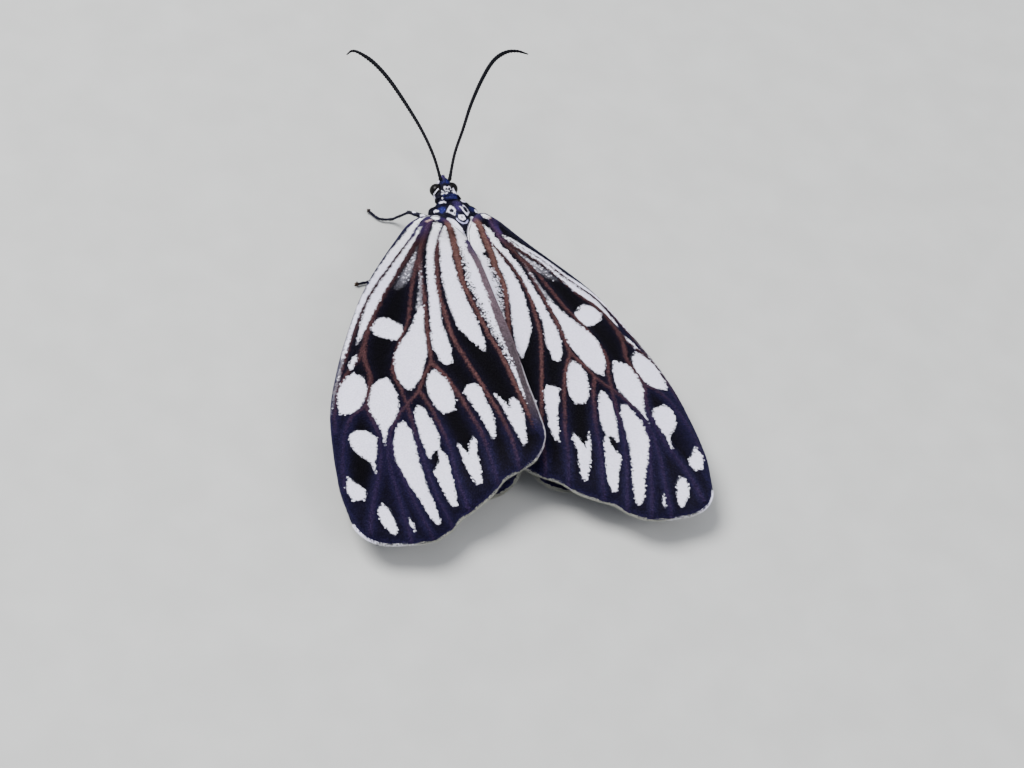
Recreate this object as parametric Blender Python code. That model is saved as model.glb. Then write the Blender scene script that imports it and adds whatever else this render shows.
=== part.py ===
"""Cyclosia pieridoides, a day-flying moth, at rest with its wings held as a low roof, at life size.

Lengths below are in millimetres. The moth looks along +Y, its left side is at -X, and +Z is up.
The wing roots lie over y = 0, and at the end the whole moth is centred on its own box over the floor.
"""

from math import cos, hypot, pi, radians, sin, sqrt, tan

import bmesh
import bpy
from mathutils import Vector
from mathutils.geometry import delaunay_2d_cdt

MM = 0.001
GAP = 0.3  # between neighbouring solids
NAME = "cyclosia_pieridoides"

# Wings: the roof that all four lie on
WING_ROOT_X = 2.1  # half the distance between the forewing roots
WING_ROOT_Z = 5.4
ROOF_PITCH = radians(9.5)  # fall from the midline to each side
ROOF_FALL = radians(2.0)  # fall towards the rear
ROOF_DROOP = 0.9  # extra fall at the wing tips
RIDGE_RADIUS = 2.0  # rounding of the roof along the midline
ROOT_DIP = 0.85  # fall of the roof towards the thorax
ROOT_DIP_START = 0.9  # y where it is full
ROOT_DIP_REACH = 7.3  # and how far behind that it ends
REAR_DROOP = 0.75  # fall of the rear edge beside the midline
REAR_DROOP_START = 20.5
REAR_DROOP_LENGTH = 3.5
REAR_DROOP_HALF_WIDTH = 5.5
REAR_DROOP_FADE = 4.0
OVERLAP_LIFT = 0.57  # the left forewing rises and the right one dips by this where they cross
OVERLAP_FLAT = 1.6  # half width of the crossing
OVERLAP_FADE = 6.5  # where the lift has faded out
OVERLAP_START = 0.3  # behind the roots
OVERLAP_FULL = 2.7
HINDWING_DROP = 1.05  # from a forewing to the hindwing under it
WING_THICKNESS = 0.5
VEIN_RISE = 0.18
VEIN_HALF_WIDTH = 0.22
VEIN_STEP = 1.3
EDGE_STEP = 1.0
FILL_STEP = 1.7

# Forewing, as (span, chord) from the root: span runs out to the tip, chord from the leading edge inwards
FOREWING_SPAN = 28.0
FOREWING_SWEEP = radians(24.3)  # between the body and the span
FOREWING_OUTLINE = [
    (-1.6, -1.0), (-1.45, -1.6), (-0.75, -2.15), (0.6, -2.6), (2.4, -3.1), (5.0, -3.65), (8.0, -4.0), (11.5, -4.15),
    (15.0, -4.15), (18.5, -3.8), (22.0, -2.8), (25.0, -1.65), (26.6, -0.75), (27.9, 0.15), (28.5, 1.2),
    (28.55, 2.4), (28.2, 3.6), (27.8, 4.9), (27.1, 6.0), (26.1, 6.75), (24.9, 7.3), (24.0, 8.1),
    (22.8, 9.0), (21.5, 9.6), (20.5, 10.6), (19.3, 11.5), (17.5, 11.75), (15.6, 10.9), (13.1, 9.5),
    (10.0, 7.9), (6.8, 6.0), (3.5, 4.1), (1.5, 2.9), (0.1, 2.12), (-0.4, 1.6), (-0.9, 0.9),
]
FOLD_START = (0.2, 0.235, 2.4)  # the leading edge folds down beyond this chord at the root, per span, at most
FOLD_SLOPE = 0.70
FOLD_ROUNDING = 0.3
FOLD_FADE_START = 4.0  # spans over which the fold flattens out
FOLD_FADE_LENGTH = 20.0
TIP_LIFT = 0.6  # the leading corner of the tip turns up
TIP_LIFT_START = 18.0
TIP_LIFT_LENGTH = 8.0
TIP_LIFT_CHORD = 4.0
FOREWING_VEINS = [
    # Subcosta, the radius and its branches
    [(0.2, -0.95), (3.0, -1.85), (6.0, -2.75), (9.0, -3.3), (12.0, -3.5), (17.0, -3.75)],
    [(0.0, -0.7), (3.0, -1.05), (6.0, -1.75), (9.0, -2.35), (12.0, -2.6), (14.0, -2.25), (15.5, -1.5),
     (17.8, -1.25), (19.0, -0.45), (20.5, 0.3), (23.0, 0.85), (25.5, 0.95), (28.0, 1.3)],
    [(12.0, -2.6), (14.0, -2.7), (15.1, -3.15), (16.8, -3.5), (18.5, -3.35), (20.5, -2.9)],
    [(17.8, -1.25), (18.8, -2.0), (20.5, -2.2), (23.0, -1.8), (25.2, -1.1)],
    # The cell's middle and hind veins, then the branches of the media and the cubitus
    [(4.5, -0.5), (7.0, -0.35), (10.0, 0.0), (12.0, -0.2), (14.5, -0.1), (15.9, 0.8), (17.1, 1.5)],
    [(0.1, -0.35), (2.0, -0.45), (4.0, -0.4), (6.0, 0.1), (8.0, 0.8), (10.0, 1.4), (12.0, 2.0), (13.2, 2.4),
     (14.5, 2.2), (16.0, 2.0), (17.1, 1.5)],
    [(17.1, 1.5), (18.5, 1.05), (20.0, 0.9), (21.8, 1.2), (24.0, 2.2), (26.0, 3.3), (28.0, 4.4)],
    [(20.0, 0.9), (22.0, 1.75), (24.0, 3.2), (26.0, 4.7), (27.3, 5.8)],
    [(17.1, 1.5), (18.3, 2.1), (20.0, 2.95), (21.5, 3.75), (23.5, 5.0), (25.0, 6.2), (26.0, 7.0)],
    [(15.7, 2.05), (17.0, 3.2), (18.3, 4.15), (20.0, 5.25), (21.5, 6.0), (23.2, 7.1), (24.6, 7.9)],
    [(13.2, 2.4), (14.2, 3.6), (15.5, 4.8), (17.0, 5.95), (18.5, 7.1), (20.0, 8.0), (22.0, 9.3)],
    # The two veins of the rear field
    [(1.0, 0.57), (4.0, 0.85), (7.0, 1.6), (9.0, 2.5), (11.0, 3.5), (13.0, 5.0), (15.5, 7.0), (17.0, 8.2),
     (18.5, 9.2), (20.5, 10.4)],
    [(0.0, 1.15), (2.0, 1.85), (4.0, 2.35), (6.0, 3.1), (8.0, 4.4), (10.0, 5.75), (12.0, 7.3), (14.0, 8.6),
     (16.0, 9.9), (17.3, 10.8)],
]

# Right hindwing, as (x, y) seen from above; the left one is its mirror image
HINDWING_OUTLINE = [
    (1.45, -0.6), (3.0, -1.6), (5.0, -4.5), (7.0, -9.0), (8.3, -14.0), (8.7, -18.5), (8.2, -21.5),
    (7.0, -22.9), (5.0, -23.5), (3.2, -23.55), (1.6, -23.1), (0.4, -22.0), (0.2, -20.6), (0.4, -18.0),
    (1.2, -15.8), (1.85, -13.0), (1.9, -9.0), (1.85, -5.0), (1.45, -2.6),
]
HINDWING_VEINS = [
    [(2.3, -1.7), (3.6, -4.2), (5.3, -8.5), (6.9, -13.5), (7.9, -19.0)],
    [(2.3, -1.9), (3.4, -5.5), (4.6, -10.0), (5.5, -13.5), (6.7, -17.5), (7.5, -21.8)],
    [(2.2, -2.3), (2.6, -7.0), (3.1, -11.0), (4.2, -13.4), (5.5, -13.5)],
    [(4.2, -13.4), (5.4, -18.0), (6.0, -23.0)],
    [(3.1, -11.0), (4.2, -18.0), (4.4, -23.3)],
    [(2.85, -9.0), (3.1, -17.0), (2.9, -23.2)],
    [(2.1, -3.0), (2.3, -9.0), (2.2, -15.0), (1.6, -20.0), (1.3, -22.6)],
]

# Trunk: (y, centre z, half width, height above the centre, depth below it)
THORAX_STATIONS = [
    (2.85, 3.60, 1.20, 0.68, 0.90), (2.50, 3.52, 1.48, 0.90, 1.25), (1.80, 3.42, 1.68, 1.10, 1.55),
    (0.90, 3.32, 1.78, 1.18, 1.68), (0.00, 3.22, 1.75, 1.15, 1.70), (-1.20, 3.05, 1.60, 0.95, 1.50),
    (-2.40, 2.95, 1.35, 0.85, 1.30), (-3.40, 2.90, 1.05, 0.80, 1.05),
]
TRUNK_SQUARENESS = 2.4  # exponent of each cross-section, 2 for an ellipse
SCUTELLUM_CENTRE = (0.0, 0.95, 4.25)
SCUTELLUM_RADII = (0.95, 1.80, 0.85)
COLLAR_STATIONS = [(3.13, 3.66, 0.78, 0.54, 0.76), (3.31, 3.68, 1.06, 0.66, 0.96), (3.48, 3.70, 0.76, 0.52, 0.72)]
COLLAR_X = -0.12
TEGULA_CENTRE = (1.50, 1.65, 3.95)
TEGULA_RADII = (0.64, 0.92, 0.50)

# Head, which leans a little to the left
HEAD_X = -0.22
HEAD_CENTRE = (HEAD_X, 4.31, 3.76)
HEAD_RADII = (0.86, 0.86, 0.92)
HEAD_BACK = 3.78  # y of the flat where the neck meets the collar
EYE_RADIUS = 0.52
EYE_CENTRE = (0.58, 4.29, 3.80)  # x from the middle of the head
EYE_INNER = 0.58  # from the middle of the head to the eye's flat inner side
EYE_GAP = 0.27
PALP_PATH = [(0.41, 5.28, 2.86), (0.41, 5.58, 2.96), (0.42, 5.72, 3.14), (0.42, 5.74, 3.30)]
PALP_RADII = (0.24, 0.26, 0.24, 0.15)
PROBOSCIS_CENTRE = (HEAD_X, 4.69, 2.14)
PROBOSCIS_COIL = 0.36
PROBOSCIS_RADIUS = 0.25

# Antennae, each from its socket to the bent tip
ANTENNA_LEFT = [
    (-0.58, 4.87, 4.90), (-0.82, 6.5, 5.28), (-1.3, 8.9, 5.7), (-2.1, 11.5, 6.1), (-3.0, 13.9, 6.45),
    (-3.9, 15.5, 6.7), (-4.8, 16.5, 6.8), (-5.4, 16.8, 6.8), (-5.9, 16.5, 6.7),
]
ANTENNA_RIGHT = [
    (0.22, 4.87, 4.90), (0.92, 6.6, 5.28), (2.05, 8.8, 5.7), (3.25, 11.2, 6.1), (4.7, 13.6, 6.45),
    (6.0, 15.3, 6.7), (7.2, 16.1, 6.8), (8.2, 16.2, 6.8), (9.1, 15.9, 6.7),
]
ANTENNA_RADII = (0.26, 0.25, 0.25, 0.27, 0.30, 0.29, 0.26, 0.20, 0.12)

# Abdomen: its axis from front to tip, with the radius at each point
ABDOMEN_AXIS = [(0.0, -3.76, 2.90), (0.0, -6.0, 2.72), (0.0, -9.0, 2.45), (0.0, -12.0, 2.10), (0.0, -14.9, 1.70)]
ABDOMEN_RADII = (1.05, 1.28, 1.38, 1.22, 0.70)
ABDOMEN_RINGS = 7
RING_GROOVE = 0.09

# Legs: hip, knee, ankle and toe of each
LEGS = {
    "foreleg_left": [(-0.9, 2.0, 2.6), (-2.88, 3.70, 2.00), (-3.80, 4.60, 0.24), (-5.55, 5.90, 0.13)],
    "foreleg_right": [(0.9, 2.0, 2.6), (2.60, 2.90, 2.00), (3.20, 2.60, 0.24), (3.90, 2.20, 0.13)],
    "midleg_left": [(-0.9, 0.3, 2.2), (-4.20, -0.30, 2.05), (-6.30, -1.50, 0.24), (-8.10, -1.70, 0.13)],
    "midleg_right": [(0.9, 0.3, 2.2), (4.20, -0.30, 2.05), (6.30, -1.50, 0.24), (8.10, -1.90, 0.13)],
    "hindleg_left": [(-0.8, -1.4, 2.3), (-3.60, -5.40, 2.30), (-5.00, -10.60, 0.24), (-6.20, -15.20, 0.13)],
    "hindleg_right": [(0.8, -1.4, 2.3), (3.60, -5.40, 2.30), (5.00, -10.60, 0.24), (6.20, -15.20, 0.13)],
}
FEMUR_RADII = (0.34, 0.44, 0.40, 0.32)
TIBIA_RADII = (0.30, 0.26, 0.27, 0.30)
TARSUS_BASE_RADIUS = 0.27
TARSUS_TIP_RADIUS = 0.20
TARSUS_JOINTS = 5
TARSUS_PINCH = 0.04
FOOT_BENDS = {"foreleg_left": (-0.12, -0.40, 0.0)}  # how far the middle of a foot lies off its straight line


def clear_scene():
    for old in list(bpy.data.objects):
        bpy.data.objects.remove(old, do_unlink=True)


def make_collection(name, hidden=False):
    collection = bpy.data.collections.new(name)
    collection.hide_render = hidden
    bpy.context.scene.collection.children.link(collection)
    return collection


def make_material(name, colour, roughness, metallic=0.0):
    material = bpy.data.materials.new(name)
    material.use_nodes = True
    shader = material.node_tree.nodes["Principled BSDF"]
    shader.inputs["Base Color"].default_value = (*colour, 1.0)
    shader.inputs["Roughness"].default_value = roughness
    shader.inputs["Metallic"].default_value = metallic
    material.diffuse_color = (*colour, 1.0)
    return material


clear_scene()
PARTS = make_collection(NAME)
CUTTERS = make_collection("cutters", hidden=True)
ROOT = bpy.data.objects.new(NAME, None)
PARTS.objects.link(ROOT)

SCALES_BLACK = make_material("wing_scales", (0.05, 0.04, 0.08), 0.55)
SCALES_PALE = make_material("hindwing_scales", (0.60, 0.60, 0.58), 0.60)
BLUE_BLACK = make_material("blue_black_cuticle", (0.02, 0.03, 0.12), 0.30, 0.4)
EYE_BLACK = make_material("eye", (0.01, 0.01, 0.01), 0.08)
ABDOMEN_GREY = make_material("abdomen_scales", (0.20, 0.21, 0.26), 0.55)
LEG_BLACK = make_material("leg_cuticle", (0.03, 0.03, 0.05), 0.40)
HORN_BLACK = make_material("antenna", (0.02, 0.02, 0.03), 0.45)


def ease(t):
    t = min(max(t, 0.0), 1.0)
    return t * t * (3.0 - 2.0 * t)


def smooth_path(points, step):
    """Points about step apart on a smooth curve through the given ones, which it keeps as its ends."""
    points = [Vector(p) for p in points]
    padded = [2 * points[0] - points[1], *points, 2 * points[-1] - points[-2]]
    dense = []
    fine = 16
    for a, b, c, d in zip(padded, padded[1:], padded[2:], padded[3:]):
        for k in range(fine):
            t = k / fine
            dense.append(
                0.5 * (2 * b + (c - a) * t + (2 * a - 5 * b + 4 * c - d) * t * t
                       + (3 * b - a - 3 * c + d) * t * t * t)
            )
    dense.append(points[-1])
    lengths = [0.0]
    for a, b in zip(dense, dense[1:]):
        lengths.append(lengths[-1] + (b - a).length)
    count = max(2, round(lengths[-1] / step) + 1)
    path = []
    at = 0
    for k in range(count):
        goal = lengths[-1] * k / (count - 1)
        while at < len(dense) - 2 and lengths[at + 1] < goal:
            at += 1
        share = (goal - lengths[at]) / (lengths[at + 1] - lengths[at])
        path.append(dense[at].lerp(dense[at + 1], min(max(share, 0.0), 1.0)))
    return path


def level(values, t):
    """The value at share t of a list of values that are evenly spread, joined smoothly."""
    place = t * (len(values) - 1)
    k = min(int(place), len(values) - 2)
    return values[k] + (values[k + 1] - values[k]) * ease(place - k)


def finish(obj, material, collection=PARTS):
    obj.data.materials.clear()
    obj.data.materials.append(material)
    obj.data.shade_smooth()
    obj.data.set_sharp_from_angle(angle=radians(40))
    for other in list(obj.users_collection):
        other.objects.unlink(obj)
    collection.objects.link(obj)
    if collection is PARTS:
        obj.parent = ROOT
    else:
        obj.hide_render = True
        obj.display_type = "WIRE"
    return obj


def object_from(name, bm, material, collection=PARTS):
    """A mesh object from a bmesh that was modelled in millimetres."""
    bmesh.ops.scale(bm, vec=(MM, MM, MM), verts=bm.verts)
    bmesh.ops.recalc_face_normals(bm, faces=bm.faces)
    mesh = bpy.data.meshes.new(name)
    bm.to_mesh(mesh)
    bm.free()
    obj = bpy.data.objects.new(name, mesh)
    return finish(obj, material, collection)


def ellipsoid(centre, radii, segments=20, rings=12):
    bm = bmesh.new()
    bmesh.ops.create_uvsphere(bm, u_segments=segments, v_segments=rings, radius=1.0)
    bmesh.ops.scale(bm, vec=radii, verts=bm.verts)
    bmesh.ops.translate(bm, vec=centre, verts=bm.verts)
    return bm


def clip(bm, point, normal):
    """Cuts away what lies on the normal's side of a plane and closes the cut."""
    geometry = bm.verts[:] + bm.edges[:] + bm.faces[:]
    cut = bmesh.ops.bisect_plane(bm, geom=geometry, plane_co=point, plane_no=normal, clear_outer=True)
    edges = [item for item in cut["geom_cut"] if isinstance(item, bmesh.types.BMEdge)]
    bmesh.ops.holes_fill(bm, edges=edges)


def tube(path, radii, bevel_resolution=3):
    """A bmesh of a round tube along a path, with a radius at each of its points."""
    curve = bpy.data.curves.new("tube", "CURVE")
    curve.dimensions = "3D"
    curve.bevel_depth = 1.0
    curve.bevel_resolution = bevel_resolution
    curve.use_fill_caps = True
    spline = curve.splines.new("POLY")
    spline.points.add(len(path) - 1)
    for point, place, radius in zip(spline.points, path, radii):
        point.co = (*place, 1.0)
        point.radius = radius
    holder = bpy.data.objects.new("tube", curve)
    bpy.context.scene.collection.objects.link(holder)
    bpy.context.view_layer.update()
    mesh = bpy.data.meshes.new_from_object(holder.evaluated_get(bpy.context.evaluated_depsgraph_get()))
    bm = bmesh.new()
    bm.from_mesh(mesh)
    bmesh.ops.remove_doubles(bm, verts=bm.verts, dist=1e-4)
    bpy.data.objects.remove(holder, do_unlink=True)
    bpy.data.meshes.remove(mesh)
    return bm


def ring_loft(stations, grow=0.0, sides=24, step=0.55):
    """A trunk through upright cross-sections, each flatter or fuller than an ellipse as TRUNK_SQUARENESS says."""
    rows = [Vector(row) for row in stations]
    sections = []
    for (y0, *a), (y1, *b) in zip(rows, rows[1:]):
        count = max(1, round(abs(y1 - y0) / step))
        sections += [[y0 + (y1 - y0) * k / count, *(p + (q - p) * k / count for p, q in zip(a, b))]
                     for k in range(count)]
    sections.append(list(rows[-1]))
    sections[0][0] += grow
    sections[-1][0] -= grow
    bm = bmesh.new()
    rings = []
    for y, z, half, above, below in sections:
        ring = []
        for k in range(sides):
            angle = 2 * pi * k / sides
            c, s = cos(angle), sin(angle)
            fullness = (abs(c) ** TRUNK_SQUARENESS + abs(s) ** TRUNK_SQUARENESS) ** (-1 / TRUNK_SQUARENESS)
            height = above if s > 0 else below
            ring.append(bm.verts.new((c * fullness * (half + grow), y, z + s * fullness * (height + grow))))
        rings.append(ring)
    for first, second in zip(rings, rings[1:]):
        for k in range(sides):
            bm.faces.new((first[k], first[k - 1], second[k - 1], second[k]))
    bm.faces.new(rings[0])
    bm.faces.new(rings[-1][::-1])
    return bm


def combine(obj, other, operation, solver="EXACT"):
    """Applies one Boolean to the object's mesh and keeps its largest closed surface."""
    modifier = obj.modifiers.new(operation.lower(), "BOOLEAN")
    modifier.operation = operation
    modifier.solver = solver
    modifier.object = other
    bpy.context.view_layer.update()
    result = bpy.data.meshes.new_from_object(obj.evaluated_get(bpy.context.evaluated_depsgraph_get()))
    obj.modifiers.clear()
    old = obj.data
    obj.data = result
    result.name = obj.name
    bpy.data.meshes.remove(old)
    keep_largest(obj)


def keep_largest(obj):
    bm = bmesh.new()
    bm.from_mesh(obj.data)
    left = set(bm.faces)
    groups = []
    while left:
        group = set()
        edge_of_group = [left.pop()]
        while edge_of_group:
            face = edge_of_group.pop()
            group.add(face)
            for edge in face.edges:
                for near in edge.link_faces:
                    if near in left:
                        left.remove(near)
                        edge_of_group.append(near)
        groups.append(group)
    largest = max(groups, key=lambda group: sum(face.calc_area() for face in group))
    spare = [face for face in bm.faces if face not in largest]
    bmesh.ops.delete(bm, geom=spare, context="FACES")
    bm.to_mesh(obj.data)
    bm.free()


def roof_height(x, y):
    """The mean surface of the forewings over a point seen from above, before the fold of the leading edge."""
    x = abs(x)
    across = sqrt(x * x + RIDGE_RADIUS**2) - WING_ROOT_X
    from_root = hypot(x - WING_ROOT_X, y)
    dip = ROOT_DIP * ease(1 + (y - ROOT_DIP_START) / ROOT_DIP_REACH)
    beside = 1 - ease((x - REAR_DROOP_HALF_WIDTH) / REAR_DROOP_FADE)
    droop = REAR_DROOP * beside * ease((-y - REAR_DROOP_START) / REAR_DROOP_LENGTH)
    return (WING_ROOT_Z - tan(ROOF_PITCH) * across + tan(ROOF_FALL) * y
            - ROOF_DROOP * (from_root / FOREWING_SPAN) ** 2 - dip - droop)


def overlap(own_x, y):
    """How fully the crossing's lift acts: own_x is the distance from the midline towards the wing's own side."""
    beside = 1 - ease((own_x - OVERLAP_FLAT) / (OVERLAP_FADE - OVERLAP_FLAT))
    return beside * ease((-y - OVERLAP_START) / (OVERLAP_FULL - OVERLAP_START))


def fold(span, chord):
    """How far the leading edge is folded down."""
    at_root, per_span, most = FOLD_START
    beyond = max(-most, -at_root - per_span * span) - chord
    beyond = (beyond + hypot(beyond, FOLD_ROUNDING)) / 2
    return FOLD_SLOPE * (1 - ease((span - FOLD_FADE_START) / FOLD_FADE_LENGTH)) * beyond


def forewing_place(side, span, chord):
    own_x = WING_ROOT_X + span * sin(FOREWING_SWEEP) - chord * cos(FOREWING_SWEEP)
    y = -span * cos(FOREWING_SWEEP) - chord * sin(FOREWING_SWEEP)
    tip = TIP_LIFT * ease((span - TIP_LIFT_START) / TIP_LIFT_LENGTH) * (1 - ease(chord / TIP_LIFT_CHORD))
    z = roof_height(own_x, y) - side * OVERLAP_LIFT * overlap(own_x, y) - fold(span, chord) + tip
    return Vector((side * own_x, y, z))


def hindwing_place(side, x, y):
    z = roof_height(x, y) - OVERLAP_LIFT * overlap(x, y) - HINDWING_DROP
    return Vector((side * x, y, z))


def upright(place, u, v):
    """The upper side's normal of the surface place(u, v)."""
    step = 0.05
    along = place(u + step, v) - place(u - step, v)
    across = place(u, v + step) - place(u, v - step)
    normal = along.cross(across).normalized()
    return normal if normal.z > 0 else -normal


def inside(outline, point):
    """Whether a point of the plane is within the closed outline."""
    crossings = 0
    for a, b in zip(outline, outline[1:] + outline[:1]):
        if (a.y > point.y) != (b.y > point.y):
            crossings += point.x < a.x + (b.x - a.x) * (point.y - a.y) / (b.y - a.y)
    return crossings % 2 == 1


def nearest(points, point):
    return min((point - other).length for other in points)


def wing(name, place, outline, veins, material):
    """A membrane of even thickness over the wing's plane outline, with its veins raised in the upper surface.

    Both faces are split into the same triangles, so that they stay parallel where the wing curves.
    """
    rim = smooth_path(outline, EDGE_STEP)
    points = list(rim)
    edges = [(k, (k + 1) % len(rim)) for k in range(len(rim))]
    rise = {}
    centres = []
    for vein in veins:
        line = smooth_path(vein, VEIN_STEP)
        line = [p for p in line if inside(rim, p) and nearest(rim, p) > VEIN_HALF_WIDTH]
        known = [k for k in rise]
        chain = []
        for p in line:
            close = [k for k in known if (points[k] - p).length < 2 * VEIN_HALF_WIDTH]
            if close:
                chain.append(close[0])
                continue
            points.append(p)
            chain.append(len(points) - 1)
            rise[len(points) - 1] = VEIN_RISE
        edges += [(a, b) for a, b in zip(chain, chain[1:]) if a != b]
        centres.append(chain)
    raised = [points[k] for k in rise]
    flanks = []
    for chain in centres:
        for k, index in enumerate(chain):
            before = points[chain[max(k - 1, 0)]]
            after = points[chain[min(k + 1, len(chain) - 1)]]
            along = after - before
            if along.length == 0:
                continue
            across = Vector((-along.y, along.x)).normalized() * VEIN_HALF_WIDTH
            for flank in (points[index] + across, points[index] - across):
                clear = not flanks or nearest(flanks, flank) > VEIN_HALF_WIDTH
                if clear and nearest(raised, flank) > 0.9 * VEIN_HALF_WIDTH and inside(rim, flank):
                    if nearest(rim, flank) > VEIN_HALF_WIDTH:
                        flanks.append(flank)
    points += flanks
    points += filler(rim, points)
    solved = delaunay_2d_cdt(points, edges, [list(range(len(rim)))], 1, 1e-5)
    bm = bmesh.new()
    upper, lower = [], []
    for flat, source in zip(solved[0], solved[3]):
        middle = place(flat.x, flat.y)
        normal = upright(place, flat.x, flat.y)
        lift = max([rise.get(k, 0.0) for k in source], default=0.0)
        upper.append(bm.verts.new(middle + normal * (WING_THICKNESS / 2 + lift)))
        lower.append(bm.verts.new(middle - normal * WING_THICKNESS / 2))
    used = {}
    for a, b, c in solved[2]:
        bm.faces.new((upper[a], upper[b], upper[c]))
        bm.faces.new((lower[c], lower[b], lower[a]))
        for start, end in ((a, b), (b, c), (c, a)):
            used[start, end] = True
    for start, end in used:
        if (end, start) not in used:
            bm.faces.new((upper[end], upper[start], lower[start], lower[end]))
    loose = [vertex for vertex in bm.verts if not vertex.link_faces]
    bmesh.ops.delete(bm, geom=loose, context="VERTS")
    return object_from(name, bm, material)


def filler(rim, points):
    """Points in staggered rows that fill the wing between its rim and its veins."""
    low = Vector((min(p.x for p in rim), min(p.y for p in rim)))
    high = Vector((max(p.x for p in rim), max(p.y for p in rim)))
    row_step = FILL_STEP * sqrt(3) / 2
    found = []
    for row in range(int((high.y - low.y) / row_step) + 1):
        for column in range(int((high.x - low.x) / FILL_STEP) + 1):
            p = low + Vector((FILL_STEP * (column + 0.5 * (row % 2)), row_step * row))
            if inside(rim, p) and nearest(points, p) > 0.6 * FILL_STEP:
                found.append(p)
    return found


def make_trunk():
    """The thorax with its raised scutellum, the collar in front, and a tegula on each shoulder.

    Returns the space that each of them keeps clear.
    """
    thorax = object_from("thorax", ring_loft(THORAX_STATIONS), BLUE_BLACK)
    hump = object_from("hump", ellipsoid(SCUTELLUM_CENTRE, SCUTELLUM_RADII, 24, 14), BLUE_BLACK, CUTTERS)
    combine(thorax, hump, "UNION")
    room = object_from("thorax_room", ring_loft(THORAX_STATIONS, GAP), BLUE_BLACK, CUTTERS)
    hump_radii = [radius + GAP for radius in SCUTELLUM_RADII]
    hump_room = object_from("hump_room", ellipsoid(SCUTELLUM_CENTRE, hump_radii, 24, 14), BLUE_BLACK, CUTTERS)
    combine(room, hump_room, "UNION")
    collar = ring_loft(COLLAR_STATIONS, step=0.12)
    bmesh.ops.translate(collar, vec=(COLLAR_X, 0, 0), verts=collar.verts)
    object_from("collar", collar, BLUE_BLACK)
    rooms = {"thorax": room}
    for side, word in ((-1, "left"), (1, "right")):
        centre = (side * TEGULA_CENTRE[0], *TEGULA_CENTRE[1:])
        tegula = object_from(f"tegula_{word}", ellipsoid(centre, TEGULA_RADII, 18, 12), BLUE_BLACK)
        combine(tegula, room, "DIFFERENCE")
        radii = [radius + GAP for radius in TEGULA_RADII]
        rooms[word] = object_from(f"tegula_room_{word}", ellipsoid(centre, radii, 18, 12), BLUE_BLACK, CUTTERS)
    return rooms


def make_wings(rooms):
    """The four wings, each ending at its root a gap away from the thorax."""
    for side, word in ((-1, "left"), (1, "right")):
        forewing = wing(f"forewing_{word}", lambda u, v, s=side: forewing_place(s, u, v),
                        FOREWING_OUTLINE, FOREWING_VEINS, SCALES_BLACK)
        combine(forewing, rooms["thorax"], "DIFFERENCE")
        combine(forewing, rooms[word], "DIFFERENCE")
        hindwing = wing(f"hindwing_{word}", lambda x, y, s=side: hindwing_place(s, x, y),
                        HINDWING_OUTLINE, HINDWING_VEINS, SCALES_PALE)
        combine(hindwing, rooms["thorax"], "DIFFERENCE")


def make_head():
    bm = ellipsoid(HEAD_CENTRE, HEAD_RADII, 24, 16)
    clip(bm, (0, HEAD_BACK, 0), (0, -1, 0))
    head = object_from("head", bm, BLUE_BLACK)
    for side, word in ((-1, "left"), (1, "right")):
        centre = Vector((HEAD_X + side * EYE_CENTRE[0], *EYE_CENTRE[1:]))
        eye = ellipsoid(centre, [EYE_RADIUS] * 3, 20, 12)
        clip(eye, (HEAD_X + side * EYE_INNER, 0, 0), (-side, 0, 0))
        object_from(f"eye_{word}", eye, EYE_BLACK)
        socket = ellipsoid(centre, [EYE_RADIUS + EYE_GAP] * 3, 20, 12)
        clip(socket, (HEAD_X + side * (EYE_INNER - EYE_GAP), 0, 0), (-side, 0, 0))
        combine(head, object_from(f"socket_{word}", socket, EYE_BLACK, CUTTERS), "DIFFERENCE")
        palp = [(HEAD_X + side * x, y, z) for x, y, z in PALP_PATH]
        object_from(f"palp_{word}", tube(palp, PALP_RADII, 2), LEG_BLACK)
    coil = bmesh.new()
    bmesh.ops.create_cone(coil, cap_ends=True, segments=20, radius1=PROBOSCIS_COIL + PROBOSCIS_RADIUS / 2,
                          radius2=PROBOSCIS_COIL + PROBOSCIS_RADIUS / 2, depth=2 * PROBOSCIS_RADIUS)
    for vertex in coil.verts:
        vertex.co = Vector((vertex.co.z, vertex.co.x, vertex.co.y)) + Vector(PROBOSCIS_CENTRE)
    object_from("proboscis", coil, LEG_BLACK)


def make_antennae():
    for word, route in (("left", ANTENNA_LEFT), ("right", ANTENNA_RIGHT)):
        path = smooth_path(route, 0.7)
        radii = [level(ANTENNA_RADII, k / (len(path) - 1)) for k in range(len(path))]
        object_from(f"antenna_{word}", tube(path, radii, 2), HORN_BLACK)


def make_abdomen():
    """Seven rings, each swelling behind the groove that parts it from the one before."""
    path = smooth_path(ABDOMEN_AXIS, 0.55)
    radii = []
    for k in range(len(path)):
        t = k / (len(path) - 1)
        swell = abs(sin(pi * ABDOMEN_RINGS * t)) ** 0.5
        radii.append(level(ABDOMEN_RADII, t) - RING_GROOVE * (1 - swell))
    tail = (path[-1] - path[-2]).normalized()
    path += [path[-1] + 0.25 * tail, path[-1] + 0.42 * tail]
    radii += [0.8 * radii[-1], 0.45 * radii[-1]]
    object_from("abdomen", tube(path, radii, 7), ABDOMEN_GREY)


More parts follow.
